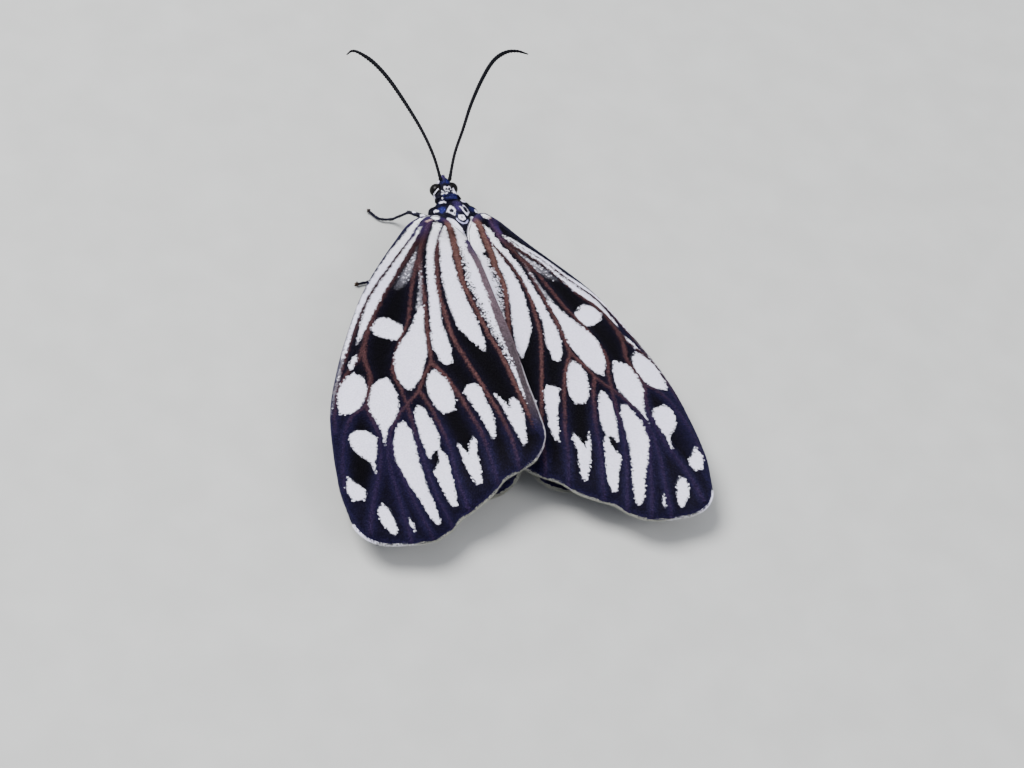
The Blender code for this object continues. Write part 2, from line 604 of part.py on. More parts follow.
def limb(start, end, radii, before, after, floor=False, bend=(0, 0, 0)):
    """One length of a leg, mitred to its neighbours at both joints, or left free where one is None."""
    start, end = Vector(start), Vector(end)
    along = (end - start).normalized()
    spare = 0.6
    head = start - along * (spare if before is not None else 0.0)
    tail = end + along * (spare if after is not None else 0.0)
    path = smooth_path([head, head.lerp(tail, 0.5) + Vector(bend), tail], (tail - head).length / 10)
    sizes = [level(radii, k / (len(path) - 1)) for k in range(len(path))]
    bm = tube(path, sizes, 2)
    if before is not None:
        normal = (along + before).normalized()
        clip(bm, start + normal * GAP / 2, -normal)
    if after is not None:
        normal = (along + after).normalized()
        clip(bm, end - normal * GAP / 2, normal)
    if floor:
        clip(bm, (0, 0, 0), (0, 0, -1))
    return bm


def make_legs(thorax_room):
    for name, joints in LEGS.items():
        hip, knee, ankle, toe = (Vector(p) for p in joints)
        thigh, shin, foot = ((b - a).normalized() for a, b in ((hip, knee), (knee, ankle), (ankle, toe)))
        femur = object_from(f"{name}_femur", limb(hip, knee, FEMUR_RADII, None, shin), LEG_BLACK)
        combine(femur, thorax_room, "DIFFERENCE")
        object_from(f"{name}_tibia", limb(knee, ankle, TIBIA_RADII, thigh, foot), LEG_BLACK)
        steps = 2 * TARSUS_JOINTS
        taper = [TARSUS_BASE_RADIUS + (TARSUS_TIP_RADIUS - TARSUS_BASE_RADIUS) * k / steps
                 - TARSUS_PINCH * (k % 2) for k in range(steps + 1)]
        bend = FOOT_BENDS.get(name, (0, 0, 0))
        object_from(f"{name}_tarsus", limb(ankle, toe, taper, shin, None, floor=True, bend=bend), LEG_BLACK)


def stand_on_floor():
    """Moves the whole moth so that its feet are at z = 0 and its box is centred over the origin."""
    corners = [obj.matrix_world @ vertex.co for obj in PARTS.objects if obj.type == "MESH"
               for vertex in obj.data.vertices]
    middle = [(min(p[k] for p in corners) + max(p[k] for p in corners)) / 2 for k in (0, 1)]
    ROOT.location = (-middle[0], -middle[1], -min(p.z for p in corners))


ROOMS = make_trunk()
make_wings(ROOMS)
make_head()
make_antennae()
make_abdomen()
make_legs(ROOMS["thorax"])
bpy.context.view_layer.update()
stand_on_floor()
bpy.context.view_layer.update()
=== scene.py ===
"""Cyclosia pieridoides at rest: wing skins, body skin, scales, fringes, eyes, antennae and their finishes.

Lengths are in millimetres in the frame of the wing roots (head at +Y, left side at -X, up +Z).
to_model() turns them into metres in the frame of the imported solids.
"""

from math import cos, pi, radians, sin

import bmesh
import bpy
import numpy as np
from mathutils import Matrix, Vector
from mathutils.geometry import delaunay_2d_cdt


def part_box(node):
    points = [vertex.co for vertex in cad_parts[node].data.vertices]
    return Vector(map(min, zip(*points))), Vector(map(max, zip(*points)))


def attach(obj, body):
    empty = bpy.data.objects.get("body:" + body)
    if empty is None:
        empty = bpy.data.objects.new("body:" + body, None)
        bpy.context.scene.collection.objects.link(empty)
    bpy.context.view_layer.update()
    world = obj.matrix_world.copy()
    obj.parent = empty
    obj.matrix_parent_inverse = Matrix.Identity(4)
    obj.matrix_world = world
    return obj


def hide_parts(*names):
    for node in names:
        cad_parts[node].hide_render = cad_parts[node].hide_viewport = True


MM = 0.001
SEED = 11

# The roof that all four wings lie on
WING_ROOT_X = 2.1
WING_ROOT_Z = 5.4
ROOF_PITCH = radians(9.5)
ROOF_FALL = radians(2.0)
ROOF_DROOP = 0.9
RIDGE_RADIUS = 2.0
ROOT_DIP, ROOT_DIP_START, ROOT_DIP_REACH = 0.85, 0.9, 7.3
REAR_DROOP, REAR_DROOP_START, REAR_DROOP_LENGTH = 0.75, 20.5, 3.5
REAR_DROOP_HALF_WIDTH, REAR_DROOP_FADE = 5.5, 4.0
OVERLAP_LIFT, OVERLAP_FLAT, OVERLAP_FADE = 0.57, 1.6, 6.5
OVERLAP_START, OVERLAP_FULL = 0.3, 2.7
HINDWING_DROP = 1.05
FOREWING_SPAN = 28.0
FOREWING_SWEEP = radians(24.3)
FOLD_START = (0.2, 0.235, 2.4)
FOLD_SLOPE, FOLD_ROUNDING = 0.70, 0.3
FOLD_FADE_START, FOLD_FADE_LENGTH = 4.0, 20.0
TIP_LIFT, TIP_LIFT_START, TIP_LIFT_LENGTH, TIP_LIFT_CHORD = 0.6, 18.0, 8.0, 4.0

FOREWING_OUTLINE = [
    (-1.6, -1.0), (-1.45, -1.6), (-0.75, -2.15), (0.6, -2.6), (2.4, -3.1), (5.0, -3.65), (8.0, -4.0),
    (11.5, -4.15), (15.0, -4.15), (18.5, -3.8), (22.0, -2.8), (25.0, -1.65), (26.6, -0.75), (27.9, 0.15),
    (28.5, 1.2), (28.55, 2.4), (28.2, 3.6), (27.8, 4.9), (27.1, 6.0), (26.1, 6.75), (24.9, 7.3),
    (24.0, 8.1), (22.8, 9.0), (21.5, 9.6), (20.5, 10.6), (19.3, 11.5), (17.5, 11.75), (15.6, 10.9),
    (13.1, 9.5), (10.0, 7.9), (6.8, 6.0), (3.5, 4.1), (1.5, 2.9), (0.1, 2.12), (-0.4, 1.6), (-0.9, 0.9),
]
# Each vein: half width of its band near the root and further out, how brown the band is there, and its line
FOREWING_VEINS = [
    (0.13, 0.09, 0.0, 0.1, [
        (0.2, -0.95), (3.0, -1.85), (6.0, -2.75), (9.0, -3.3), (12.0, -3.5), (17.0, -3.75),
    ]),
    (0.26, 0.14, 0.15, 0.35, [
        (0.0, -0.7), (3.0, -1.05), (6.0, -1.75), (9.0, -2.35), (12.0, -2.6), (14.0, -2.25), (15.5, -1.5),
        (17.8, -1.25), (19.0, -0.45), (20.5, 0.3), (23.0, 0.85), (25.5, 0.95), (28.0, 1.3),
    ]),
    (0.13, 0.11, 0.2, 0.2, [
        (12.0, -2.6), (14.0, -2.7), (15.1, -3.15), (16.8, -3.5), (18.5, -3.35), (20.5, -2.9),
    ]),
    (0.13, 0.11, 0.2, 0.2, [(17.8, -1.25), (18.8, -2.0), (20.5, -2.2), (23.0, -1.8), (25.2, -1.1)]),
    (0.15, 0.1, 0.3, 0.45, [
        (4.5, -0.5), (7.0, -0.35), (10.0, 0.0), (12.0, -0.2), (14.5, -0.1), (15.9, 0.8), (17.1, 1.5),
    ]),
    (0.16, 0.11, 0.35, 0.55, [
        (0.1, -0.35), (2.0, -0.45), (4.0, -0.4), (6.0, 0.1), (8.0, 0.8), (10.0, 1.4), (12.0, 2.0),
        (13.2, 2.4), (14.5, 2.2), (16.0, 2.0), (17.1, 1.5),
    ]),
    (0.11, 0.11, 0.4, 0.4, [
        (17.1, 1.5), (18.5, 1.05), (20.0, 0.9), (21.8, 1.2), (24.0, 2.2), (26.0, 3.3), (28.0, 4.4),
    ]),
    (0.11, 0.11, 0.3, 0.3, [(20.0, 0.9), (22.0, 1.75), (24.0, 3.2), (26.0, 4.7), (27.3, 5.8)]),
    (0.11, 0.11, 0.4, 0.4, [
        (17.1, 1.5), (18.3, 2.1), (20.0, 2.95), (21.5, 3.75), (23.5, 5.0), (25.0, 6.2), (26.0, 7.0),
    ]),
    (0.11, 0.11, 0.5, 0.5, [
        (15.7, 2.05), (17.0, 3.2), (18.3, 4.15), (20.0, 5.25), (21.5, 6.0), (23.2, 7.1), (24.6, 7.9),
    ]),
    (0.11, 0.11, 0.55, 0.55, [
        (13.2, 2.4), (14.2, 3.6), (15.5, 4.8), (17.0, 5.95), (18.5, 7.1), (20.0, 8.0), (22.0, 9.3),
    ]),
    (0.17, 0.11, 0.15, 0.75, [
        (1.0, 0.57), (4.0, 0.85), (7.0, 1.6), (9.0, 2.5), (11.0, 3.5), (13.0, 5.0), (15.5, 7.0),
        (17.0, 8.2), (18.5, 9.2), (20.5, 10.4),
    ]),
    (0.24, 0.13, 1.9, 0.95, [
        (3.6, 2.2), (4.0, 2.38), (6.0, 3.1), (8.0, 4.4), (10.0, 5.75), (12.0, 7.3), (14.0, 8.6),
        (16.0, 9.9), (17.3, 10.8),
    ]),
]
# The white marks of the forewing, as outlines in span and chord
MARKS = [
    [  # costal strip
        (-1.55, -0.95), (-1.3, -1.25), (-0.4, -1.52), (0.1, -1.8), (1.0, -2.2), (2.0, -2.62), (3.0, -2.92),
        (4.0, -3.15), (6.0, -3.55), (8.0, -3.85), (10.0, -4.0), (12.0, -4.05), (14.0, -4.0), (13.5, -3.7),
        (12.0, -3.65), (10.0, -3.55), (8.0, -3.3), (6.0, -2.85), (4.0, -2.25), (2.0, -1.65), (0.0, -1.1),
        (-0.65, -0.95), (-0.9, -0.6), (-1.3, -0.6),
    ],
    [  # subcostal strip
        (0.3, -0.95), (1.0, -1.1), (2.0, -1.4), (4.0, -2.0), (6.0, -2.6), (8.0, -3.05), (10.0, -3.25),
        (12.0, -3.2), (12.6, -3.1), (11.5, -2.85), (10.0, -2.6), (8.0, -2.25), (6.0, -1.8), (4.0, -1.4),
        (2.0, -1.0), (0.5, -0.8),
    ],
    [(13.5, -3.0), (14.0, -3.2), (14.9, -3.2), (14.8, -2.95), (14.0, -2.75), (13.7, -2.85)],  # costal dot
    [  # costal oval
        (15.1, -2.75), (15.5, -3.1), (16.2, -3.4), (17.2, -3.45), (18.2, -3.2), (18.9, -2.85),
        (18.6, -2.2), (18.1, -1.75), (17.3, -1.5), (16.3, -1.55), (15.5, -2.0),
    ],
    [  # cell square
        (10.0, -2.0), (10.5, -2.3), (11.2, -2.4), (11.6, -2.1), (11.8, -1.3), (11.8, -0.6), (11.6, -0.3),
        (10.8, -0.2), (10.4, -0.35), (10.2, -0.9), (10.0, -1.4),
    ],
    [  # cell drop
        (8.7, 0.5), (10.0, 0.4), (11.0, 0.2), (12.0, -0.1), (13.0, -0.3), (14.0, -0.1), (14.8, 0.2),
        (15.5, 0.8), (15.9, 1.3), (15.5, 1.7), (14.5, 2.0), (12.3, 1.95), (10.5, 1.3), (8.5, 0.85),
    ],
    [  # middle strip
        (0.1, 0.0), (1.0, -0.1), (3.0, -0.05), (5.0, 0.3), (7.0, 0.85), (9.0, 1.4), (11.0, 1.95),
        (12.0, 2.3), (13.0, 3.0), (13.4, 3.6), (13.0, 3.9), (12.0, 3.6), (11.0, 3.1), (10.0, 2.5),
        (8.0, 1.85), (6.0, 1.1), (4.0, 0.6), (2.0, 0.5), (0.2, 0.5),
    ],
    [  # rear strip
        (0.3, 0.7), (2.0, 0.7), (4.0, 1.1), (6.0, 1.65), (8.0, 2.5), (10.0, 3.6), (11.0, 4.7), (11.8, 6.0),
        (11.0, 5.8), (10.0, 5.3), (9.0, 4.7), (8.0, 4.0), (6.0, 2.8), (4.0, 1.95), (2.0, 1.5), (0.5, 0.95),
    ],
    [  # long strip
        (-0.9, 0.8), (-0.5, 1.15), (0.0, 1.5), (1.0, 1.9), (3.0, 2.4), (5.0, 3.3), (7.0, 4.2), (9.0, 5.5),
        (11.0, 7.0), (12.0, 7.7), (14.0, 8.9), (15.5, 9.8), (16.5, 10.6), (15.5, 10.3), (14.0, 9.5),
        (12.0, 8.6), (10.0, 7.2), (8.0, 6.0), (6.0, 5.1), (4.0, 3.95), (2.0, 2.95), (0.5, 2.3),
        (-0.2, 1.8), (-0.7, 1.2),
    ],
    [  # kite
        (15.1, -0.4), (15.5, -1.0), (16.2, -1.3), (17.4, -1.2), (18.2, -0.9), (19.0, -0.2), (19.8, 0.35),
        (20.9, 0.75), (19.5, 0.65), (18.5, 0.9), (17.4, 1.0), (16.5, 0.7), (15.7, 0.2),
    ],
    [  # upper stroke
        (18.5, 1.6), (18.7, 1.35), (19.3, 1.2), (20.5, 1.25), (22.0, 1.8), (23.3, 2.9), (24.3, 4.0),
        (25.4, 4.9), (25.9, 5.6), (25.7, 5.9), (24.8, 5.4), (23.3, 4.4), (22.0, 3.6), (20.5, 2.9),
        (19.2, 2.3),
    ],
    [  # lower stroke
        (16.9, 2.3), (17.5, 2.15), (18.3, 2.4), (19.5, 3.0), (20.8, 3.8), (21.2, 4.1), (20.5, 4.15),
        (20.3, 4.4), (21.0, 4.75), (21.7, 4.6), (22.0, 4.5), (23.2, 5.6), (24.1, 6.4), (23.9, 6.75),
        (22.7, 6.3), (21.6, 5.7), (20.7, 5.2), (20.2, 4.6), (19.0, 4.2), (18.0, 3.5), (17.2, 2.8),
    ],
    [  # disc oval
        (13.8, 2.7), (14.4, 2.45), (15.3, 2.5), (16.2, 3.0), (17.0, 3.7), (17.3, 4.2), (17.1, 4.6),
        (16.9, 5.0), (16.6, 4.75), (16.3, 4.9), (15.4, 4.4), (14.5, 3.8), (14.0, 3.1),
    ],
    [  # outer tooth
        (19.4, 5.55), (20.2, 6.05), (21.0, 6.6), (21.7, 7.2), (22.2, 7.75), (21.9, 8.05), (20.9, 7.6),
        (20.0, 7.15), (19.3, 7.0), (18.9, 6.65), (19.5, 6.5), (20.3, 6.6),
    ],
    [  # rear oval
        (14.6, 5.8), (14.9, 5.3), (15.3, 5.15), (16.0, 5.7), (17.0, 6.6), (18.0, 7.35), (18.9, 8.0),
        (18.6, 8.15), (17.5, 7.85), (16.5, 7.3), (15.5, 6.7), (14.9, 6.3),
    ],
    [  # rear tooth
        (15.0, 7.1), (15.4, 7.4), (16.0, 8.0), (17.0, 8.7), (18.0, 9.5), (18.8, 10.2), (18.6, 10.4),
        (17.5, 10.1), (16.3, 9.7), (15.4, 9.2), (15.1, 8.7), (15.5, 8.5), (16.2, 8.75), (15.6, 8.1),
    ],
    [  # tip drop
        (19.9, -1.2), (20.0, -1.6), (20.5, -1.85), (21.1, -1.7), (21.7, -1.3), (22.2, -0.5), (22.4, 0.0),
        (23.5, 0.7), (22.3, 0.35), (21.2, 0.25), (20.3, 0.0), (19.9, -0.6),
    ],
    [  # tip spot
        (24.1, -1.2), (24.9, -1.1), (25.4, -0.85), (25.85, -0.4), (25.7, 0.3), (25.2, 0.35), (24.7, 0.1),
        (24.5, -0.5),
    ],
    [  # edge spot
        (25.55, 1.6), (25.9, 1.4), (26.4, 1.5), (27.0, 1.9), (27.4, 2.5), (27.6, 3.0), (27.2, 3.1),
        (26.5, 2.7), (25.9, 2.2),
    ],
    [(26.0, 3.65), (26.5, 3.85), (27.05, 4.35), (26.5, 4.1)],  # sliver
]
# White spots at the wing roots, as outlines seen from above
ROOT_SPOTS = {
    -1: [
        (-1.94, 1.26), (-1.72, 1.28), (-1.57, 1.17), (-1.56, 0.8), (-1.66, 0.51), (-1.92, 0.49),
        (-2.03, 0.8),
    ],
    1: [
        (1.96, 1.31), (2.25, 1.66), (2.42, 1.62), (2.55, 1.09), (2.48, 0.66), (2.2, 0.26), (1.96, 0.39),
        (1.87, 0.85),
    ],
}
PINK_CENTRE, PINK_RADIUS = (-0.47, -0.45), 0.17
# Axes of the brown band at each wing's root, in span and chord, and half its width
ROOT_BANDS = {
    -1: [(-0.75, 0.78), (-0.45, 0.9), (0.34, 1.27), (2.08, 1.72), (3.9, 2.34)],
    1: [(-0.75, 0.7), (-0.45, 0.78), (0.49, 1.03), (1.66, 1.33), (2.98, 1.86), (3.9, 2.37)],
}
ROOT_BAND_HALF = 0.25
ROOT_BAND_BROWN = 1.95  # above 1, brown gives way to the root's lighter brown
# Where the pale field behind the rearmost vein begins, in span and chord
ROOT_WEDGES = {
    -1: [
        (-0.9, 1.0), (-0.5, 1.12), (0.88, 1.62), (2.53, 2.13), (2.6, 3.0), (1.9, 3.3), (0.5, 3.3),
        (-0.9, 2.4),
    ],
    1: [
        (-0.9, 0.9), (-0.41, 1.0), (0.46, 1.38), (1.45, 1.68), (2.2, 1.95), (2.3, 2.6), (1.0, 2.8),
        (-0.9, 2.4),
    ],
}
# Loose white dusting: share of white scales at its inner and outer ends, how far it fades in, and its outline
DUSTING = [
    (0.95, 0.15, 0.22, [
        (2.6, -0.72), (4.0, -0.95), (5.5, -1.35), (6.6, -1.62), (7.4, -1.72), (7.4, -1.25), (6.8, -0.75),
        (6.0, -0.55), (4.0, -0.6),
    ]),
    (0.5, 0.5, 0.12, [(4.0, -0.3), (9.0, 0.35), (9.0, 0.85), (7.5, 0.55), (5.0, -0.05)]),
    (0.45, 0.25, 0.08, [(13.0, -4.05), (19.0, -3.75), (19.0, -3.5), (13.0, -3.7)]),
]
# Where the pale field ends and the mauve inner margin begins
MARGIN_START = [
    (-2.0, 3.4), (0.9, 3.4), (1.5, 2.5), (1.9, 2.55), (2.97, 2.98), (4.31, 3.87), (5.59, 4.51),
    (6.8, 5.19), (8.03, 5.77), (9.23, 6.39), (10.07, 6.82), (12.17, 8.16), (14.03, 9.11), (15.87, 10.01),
    (17.3, 10.62), (18.0, 11.5),
]
MARGIN_END = 18.0
FLECKED_VEIN = 12  # dark flecks lie along the rear side of this vein
FLECK_START, FLECK_REACH, FLECK_SPAN = 0.22, 0.62, (1.0, 12.5)

# The pattern is looked up a little further out near the root, and at other distances from the right wing's
# front edge. Here and below, a pair of numbers often says where a change begins and how long it is.
ROOT_DRAW, ROOT_DRAW_SPAN = 0.5, (-1.0, 2.5)
COSTAL_EDGE = [(-1.5, -1.5), *FOREWING_OUTLINE[2:9]]
# Distance from the front edge of the right wing, and the distance at which the pattern there is looked up
COSTAL_SHIFT = [
    (-0.5, -0.7), (0.0, -0.2), (1.52, 0.2), (2.13, 0.82), (2.36, 1.07), (2.6, 1.85), (2.75, 2.2),
    (3.2, 2.75), (4.6, 4.3), (6.0, 6.0), (20.0, 20.0),
]
COSTAL_SHIFT_START, COSTAL_SHIFT_END = (-0.3, 1.8), (6.5, 5.0)
# On the right wing, how far from the front edge the white begins, by span: at the root and further out
RIGHT_ROOT_FRONT = [(1.3, 3.0), (1.8, 2.2), (2.8, 1.9), (3.0, 0.0)]
RIGHT_FRONT = [(2.0, 1.9), (5.0, 1.5), (7.5, 0.0)]

# Navy gleam on the black of the forewing: beside veins, along the rim and at the tip
VEIN_GLEAM, VEIN_GLEAM_INNER, VEIN_GLEAM_SPAN = 0.5, 0.25, (15.0, 5.0)
RIM_GLEAM, RIGHT_FRONT_GLEAM = 0.65, 1.5
TIP_GLEAM, TIP_GLEAM_SLANT, TIP_GLEAM_SPAN = 0.30, 0.55, (23.5, 3.0)
# The bands along the veins
VEIN_TAPER = (2.0, 7.0)
BAND_EDGE, BAND_CORE, BAND_SIDE_SHADE = (-0.05, 0.12), 0.16, 0.6
BAND_ROOT_SPAN, BAND_ROOT_REAR = (0.6, 2.2), 0.35
BAND_VIOLET_SPAN, BAND_BROWN_END = (15.0, 6.0), (14.0, 7.0)
HINGE_SHARE, HINGE_END = 0.9, (-0.95, 0.7)
# The inner margin, and a painted highlight: a pale line on its rear edge
MARGIN_CHORD, MARGIN_GREY_SPAN, MARGIN_DARK_SPAN, MARGIN_NAVY_SPAN = 1.2, (1.0, 3.0), (7.0, 5.0), (14.5, 3.0)
HIGHLIGHT_LINE_WIDTH, HIGHLIGHT_LINE_CHORD, HIGHLIGHT_LINE_SPAN = 0.12, 2.5, (12.0, 20.0)
# The white marks' distances from the front edge and from the rearmost bands, and how many flecks there are
FRONT_CHORD, FRONT_BORDER, FRONT_BORDER_LOSS, FRONT_BORDER_SPAN = -1, 0.34, 0.14, (0.0, 9.0)
BAND_CLEARANCE, BAND_CLEARANCE_SPAN, WEDGE_CLEARANCE = 0.31, 4.0, 0.29
FLECK_SHARE, FLECK_ROOT_SHARE, FLECK_INCREASE = 0.75, 0.4, (2.0, 3.0)
ROOT_WHITE_END = (0.0, 6.0)
DUST_WHITE, DUST_HAZE, DUST_TONE = 0.3, 0.85, 0.55
UNDER_WHITE, UNDER_DARK, UNDER_LIFT = 0.9, 1.2, 0.012

HINDWING_OUTLINE = [
    (1.45, -0.6), (3.0, -1.6), (5.0, -4.5), (7.0, -9.0), (8.3, -14.0), (8.7, -18.5), (8.2, -21.5),
    (7.0, -22.9), (5.0, -23.5), (3.2, -23.55), (1.6, -23.1), (0.4, -22.0), (0.2, -20.6), (0.4, -18.0),
    (1.2, -15.8), (1.85, -13.0), (1.9, -9.0), (1.85, -5.0), (1.45, -2.6),
]
HINDWING_VEINS = [
    [(2.3, -1.7), (3.6, -4.2), (5.3, -8.5), (6.9, -13.5), (7.9, -19.0)],
    [(2.3, -1.9), (3.4, -5.5), (4.6, -10.0), (5.5, -13.5), (6.7, -17.5), (7.5, -21.8)],
    [(2.2, -2.3), (2.6, -7.0), (3.1, -11.0), (4.2, -13.4), (5.5, -13.5)],
    [(4.2, -13.4), (5.4, -18.0), (6.0, -23.0)],
    [(3.1, -11.0), (4.2, -18.0), (4.4, -23.3)],
    [(2.85, -9.0), (3.1, -17.0), (2.9, -23.2)],
    [(2.1, -3.0), (2.3, -9.0), (2.2, -15.0), (1.6, -20.0), (1.3, -22.6)],
]
HINDWING_VEIN_HALF = 0.14
HIND_BORDER, HIND_BORDER_REAR, HIND_BORDER_GROWTH, HIND_BORDER_EDGE = 0.8, 1.6, (12.0, 8.0), 0.3
HIND_VEIN_EDGE, HIND_VEIN_SHADE, HIND_VEIN_SPREAD, HIND_RIM_GLEAM = 0.1, 0.8, 0.35, 0.8

OUTLINE_STEP, VEIN_STEP, ROOT_BAND_STEP = 0.25, 0.4, 0.3
SKIN_HALF = 0.19  # half the thickness of a wing's skin
SKIN_RIM_HALF = 0.05
COSTAL_RIM_HALF = 0.15  # the front edge of the forewing is thicker
COSTAL_RIM_CHORD, COSTAL_RIM_SPAN = (-2.2, 0.8), (12.0, 4.0)
SKIN_RIM_FADE = 0.7
SKIN_INSET = 0.09  # the fringe covers what is left of the outline
SKIN_STEP = 0.17
VEIN_RISE = 0.07
VEIN_RISE_FADE = 0.5
VEIN_SIGMA = 0.13
FIELD_DIP = 0.05  # the membrane sinks a little between the veins
FIELD_DIP_FADE = 0.8
ROW_SPACING = 0.87  # between staggered rows, against the step in a row

# A scale: (along, across, up) of its points and its triangles, one closed body with a toothed tip
SCALE = (np.array([
    (0.00, 0.00, -0.6), (0.45, -0.50, 0.35), (0.45, 0.50, 0.35), (1.00, -0.30, 1.0),
    (0.84, 0.00, 1.1), (1.00, 0.30, 1.0), (0.55, 0.00, 0.0),
]), np.array([
    (4, 3, 1), (4, 1, 0), (4, 0, 2), (4, 2, 5), (6, 1, 3), (6, 3, 4), (6, 4, 5), (6, 5, 2), (6, 2, 0), (6, 0, 1),
]))
# A hair: a three-sided spike
HAIR = (np.array([(0.0, -0.5, -0.5), (0.0, 0.5, -0.5), (0.0, 0.0, 0.5), (1.0, 0.0, 0.0)]),
        np.array([(0, 2, 1), (0, 1, 3), (1, 2, 3), (2, 0, 3)]))
PATCH = 0.003  # of the unwrap, for each scale
PIECE_LIMIT = 190000  # triangles
# By coat: the step between scales, and how far their roots stay inside the skin's rim
SCALE_STEPS = {"forewing": (0.104, 0.11), "hindwing": (0.17, 0.24), "under": (0.20, 0.26)}
FOREWING_FAN, HINDWING_FAN = (-4.0, -0.6), (1.8, 3.0)  # where the scales' directions spread from
FAN_SPREAD, SCALE_JITTER, TINT_AHEAD, TINT_JITTER = 0.10, 0.3, 0.7, 0.09
SCALE_LENGTHS, SCALE_WIDTHS = (1.55, 2.0), (0.95, 1.2)  # in steps
WHITE_SHADES, DARK_SHADES = (0.88, 1.0), (0.55, 1.45)
WING_SCALE_LIFT = 0.05

FRINGE_ROWS, FRINGE_STEP, FRINGE_ROW_HEIGHT = 4, 0.022, 0.025
FRINGE_ROOT, FRINGE_ROOT_PER_ROW, FRINGE_JITTER, FRINGE_SPREAD = 0.03, 0.02, 0.01, 0.08
FRINGE_TILT, FRINGE_SWEEP, FRONT_SWEEP, SWEEP_FACING = 0.15, 0.15, 2.2, 0.25
FRINGE_SHORT, FRINGE_LENGTHS, FRINGE_SHADES = 0.12, (0.9, 1.05), (0.75, 1.2)
FRINGE_WIDTH, FRINGE_LIFT = 0.04, 0.02
FRINGE_FACING = {"forewing": 0.5, "hindwing": 0.25}  # the outer margin faces outwards at least this much
FRINGE_LONG = {"forewing": 0.175, "hindwing": 0.24}
# The white hairs at the forewing's apex, and the grey ones on its rear edge, which turn into a painted highlight
# further out
APEX_SPAN, APEX_CHORD, EDGE_SHARE, EDGE_SPAN = (26.9, 0.8), (1.5, 0.8), 0.35, (27.6, 0.4)
REAR_HAIR_CHORD, REAR_HAIR_START, REAR_HAIR_HIGHLIGHT_SPAN, REAR_HAIR_SHADE = 2.5, 3.0, (11.0, 3.0), 0.8

HEAD_X = -0.22  # the head leans a little to the left
EYE_CENTRE = (0.58, 4.29, 3.80)  # x from the middle of the head
EYE_RADIUS = 0.52
EYE_LEAN = (-0.08, -0.07, 0.0)  # of the left eye
# White scales along the rear rim of each eye
EYE_RIMS = [
    [(-0.86, 4.0, 4.28), (-1.0, 3.89, 4.18), (-1.12, 3.83, 4.02), (-1.19, 3.82, 3.86), (-1.19, 3.86, 3.62)],
    [(0.34, 4.0, 4.24), (0.44, 3.91, 4.12), (0.54, 3.86, 4.02), (0.66, 3.82, 3.9)],
]
# Middle lines of the antennae
ANTENNAE = {
    "left": [
        (-0.5, 4.62, 4.42), (-0.82, 6.5, 5.28), (-1.3, 8.9, 5.7), (-2.1, 11.5, 6.1), (-3.0, 13.9, 6.45),
        (-3.9, 15.5, 6.7), (-4.8, 16.5, 6.8), (-5.4, 16.8, 6.8), (-5.9, 16.5, 6.7),
    ],
    "right": [
        (0.18, 4.62, 4.42), (0.92, 6.6, 5.28), (2.05, 8.8, 5.7), (3.25, 11.2, 6.1), (4.7, 13.6, 6.45),
        (6.0, 15.3, 6.7), (7.2, 16.1, 6.8), (8.2, 16.2, 6.8), (9.1, 15.9, 6.7),
    ],
}
ANTENNA_SEGMENT = 0.27
ANTENNA_SIDES = 12
ANTENNA_POINTS = 6  # in each segment
# Half widths of an antenna by share of its length
ANTENNA_RADII = [
    (0, 0.16), (0.05, 0.125), (0.3, 0.13), (0.62, 0.165), (0.85, 0.175), (0.96, 0.105), (1.0, 0.05),
]
SEGMENT_WAIST, SEGMENT_FLARE, SEGMENT_FLARE_END = 0.86, 0.16, 0.8
TOOTH_HEIGHT, TOOTH_START, TOOTH_END = 0.07, (0.12, 0.2), (0.9, 0.1)
TONGUE_TURNS, TONGUE_POINTS, TONGUE_START_ANGLE, TONGUE_HALF = 2.2, 90, 0.6 * pi, 0.075
TONGUE_INNER, TONGUE_GROWTH, TONGUE_CENTRE = 0.10, 0.26, (4.74, 2.14)
TONGUE_LEAD = [(HEAD_X, 4.80, 2.95), (HEAD_X, 5.02, 2.66)]

TRUNK_NODES = [
    "thorax", "collar", "tegula_left", "tegula_right", "abdomen", "head", "palp_left", "palp_right",
]
# Each leg: hip, knee, ankle, middle of the foot and toe
LEGS = {
    "foreleg_left": [
        (-0.9, 2.0, 2.6), (-2.88, 3.7, 2.0), (-3.8, 4.6, 0.24), (-4.79, 4.86, 0.14), (-5.5, 5.88, 0.1),
    ],
    "foreleg_right": [
        (0.9, 2.0, 2.6), (2.6, 2.9, 2.0), (3.2, 2.6, 0.24), (3.55, 2.4, 0.14), (3.85, 2.22, 0.1),
    ],
    "midleg_left": [
        (-0.9, 0.3, 2.2), (-4.2, -0.3, 2.05), (-6.3, -1.5, 0.24), (-7.2, -1.6, 0.14), (-8.05, -1.7, 0.1),
    ],
    "midleg_right": [
        (0.9, 0.3, 2.2), (4.2, -0.3, 2.05), (6.3, -1.5, 0.24), (7.2, -1.7, 0.14), (8.05, -1.89, 0.1),
    ],
    "hindleg_left": [
        (-0.8, -1.4, 2.3), (-3.6, -5.4, 2.3), (-5.0, -10.6, 0.24), (-5.6, -12.9, 0.14),
        (-6.19, -15.15, 0.1),
    ],
    "hindleg_right": [
        (0.8, -1.4, 2.3), (3.6, -5.4, 2.3), (5.0, -10.6, 0.24), (5.6, -12.9, 0.14), (6.19, -15.15, 0.1),
    ],
}
FEMUR_RADII, TIBIA_RADII = (0.22, 0.27, 0.25, 0.19), (0.17, 0.15, 0.155, 0.17)
FOOT_RADIUS, FOOT_PINCH, FOOT_JOINTS = 0.17, 0.04, 5
PALP_PATH = [(0.36, 4.90, 2.90), (0.39, 5.12, 2.84), (0.38, 5.34, 2.86), (0.34, 5.48, 2.98)]
PALP_RADII = (0.15, 0.17, 0.16, 0.12)
LEG_NODES = [f"{leg}_{length}" for leg in LEGS for length in ("femur", "tibia", "tarsus")]
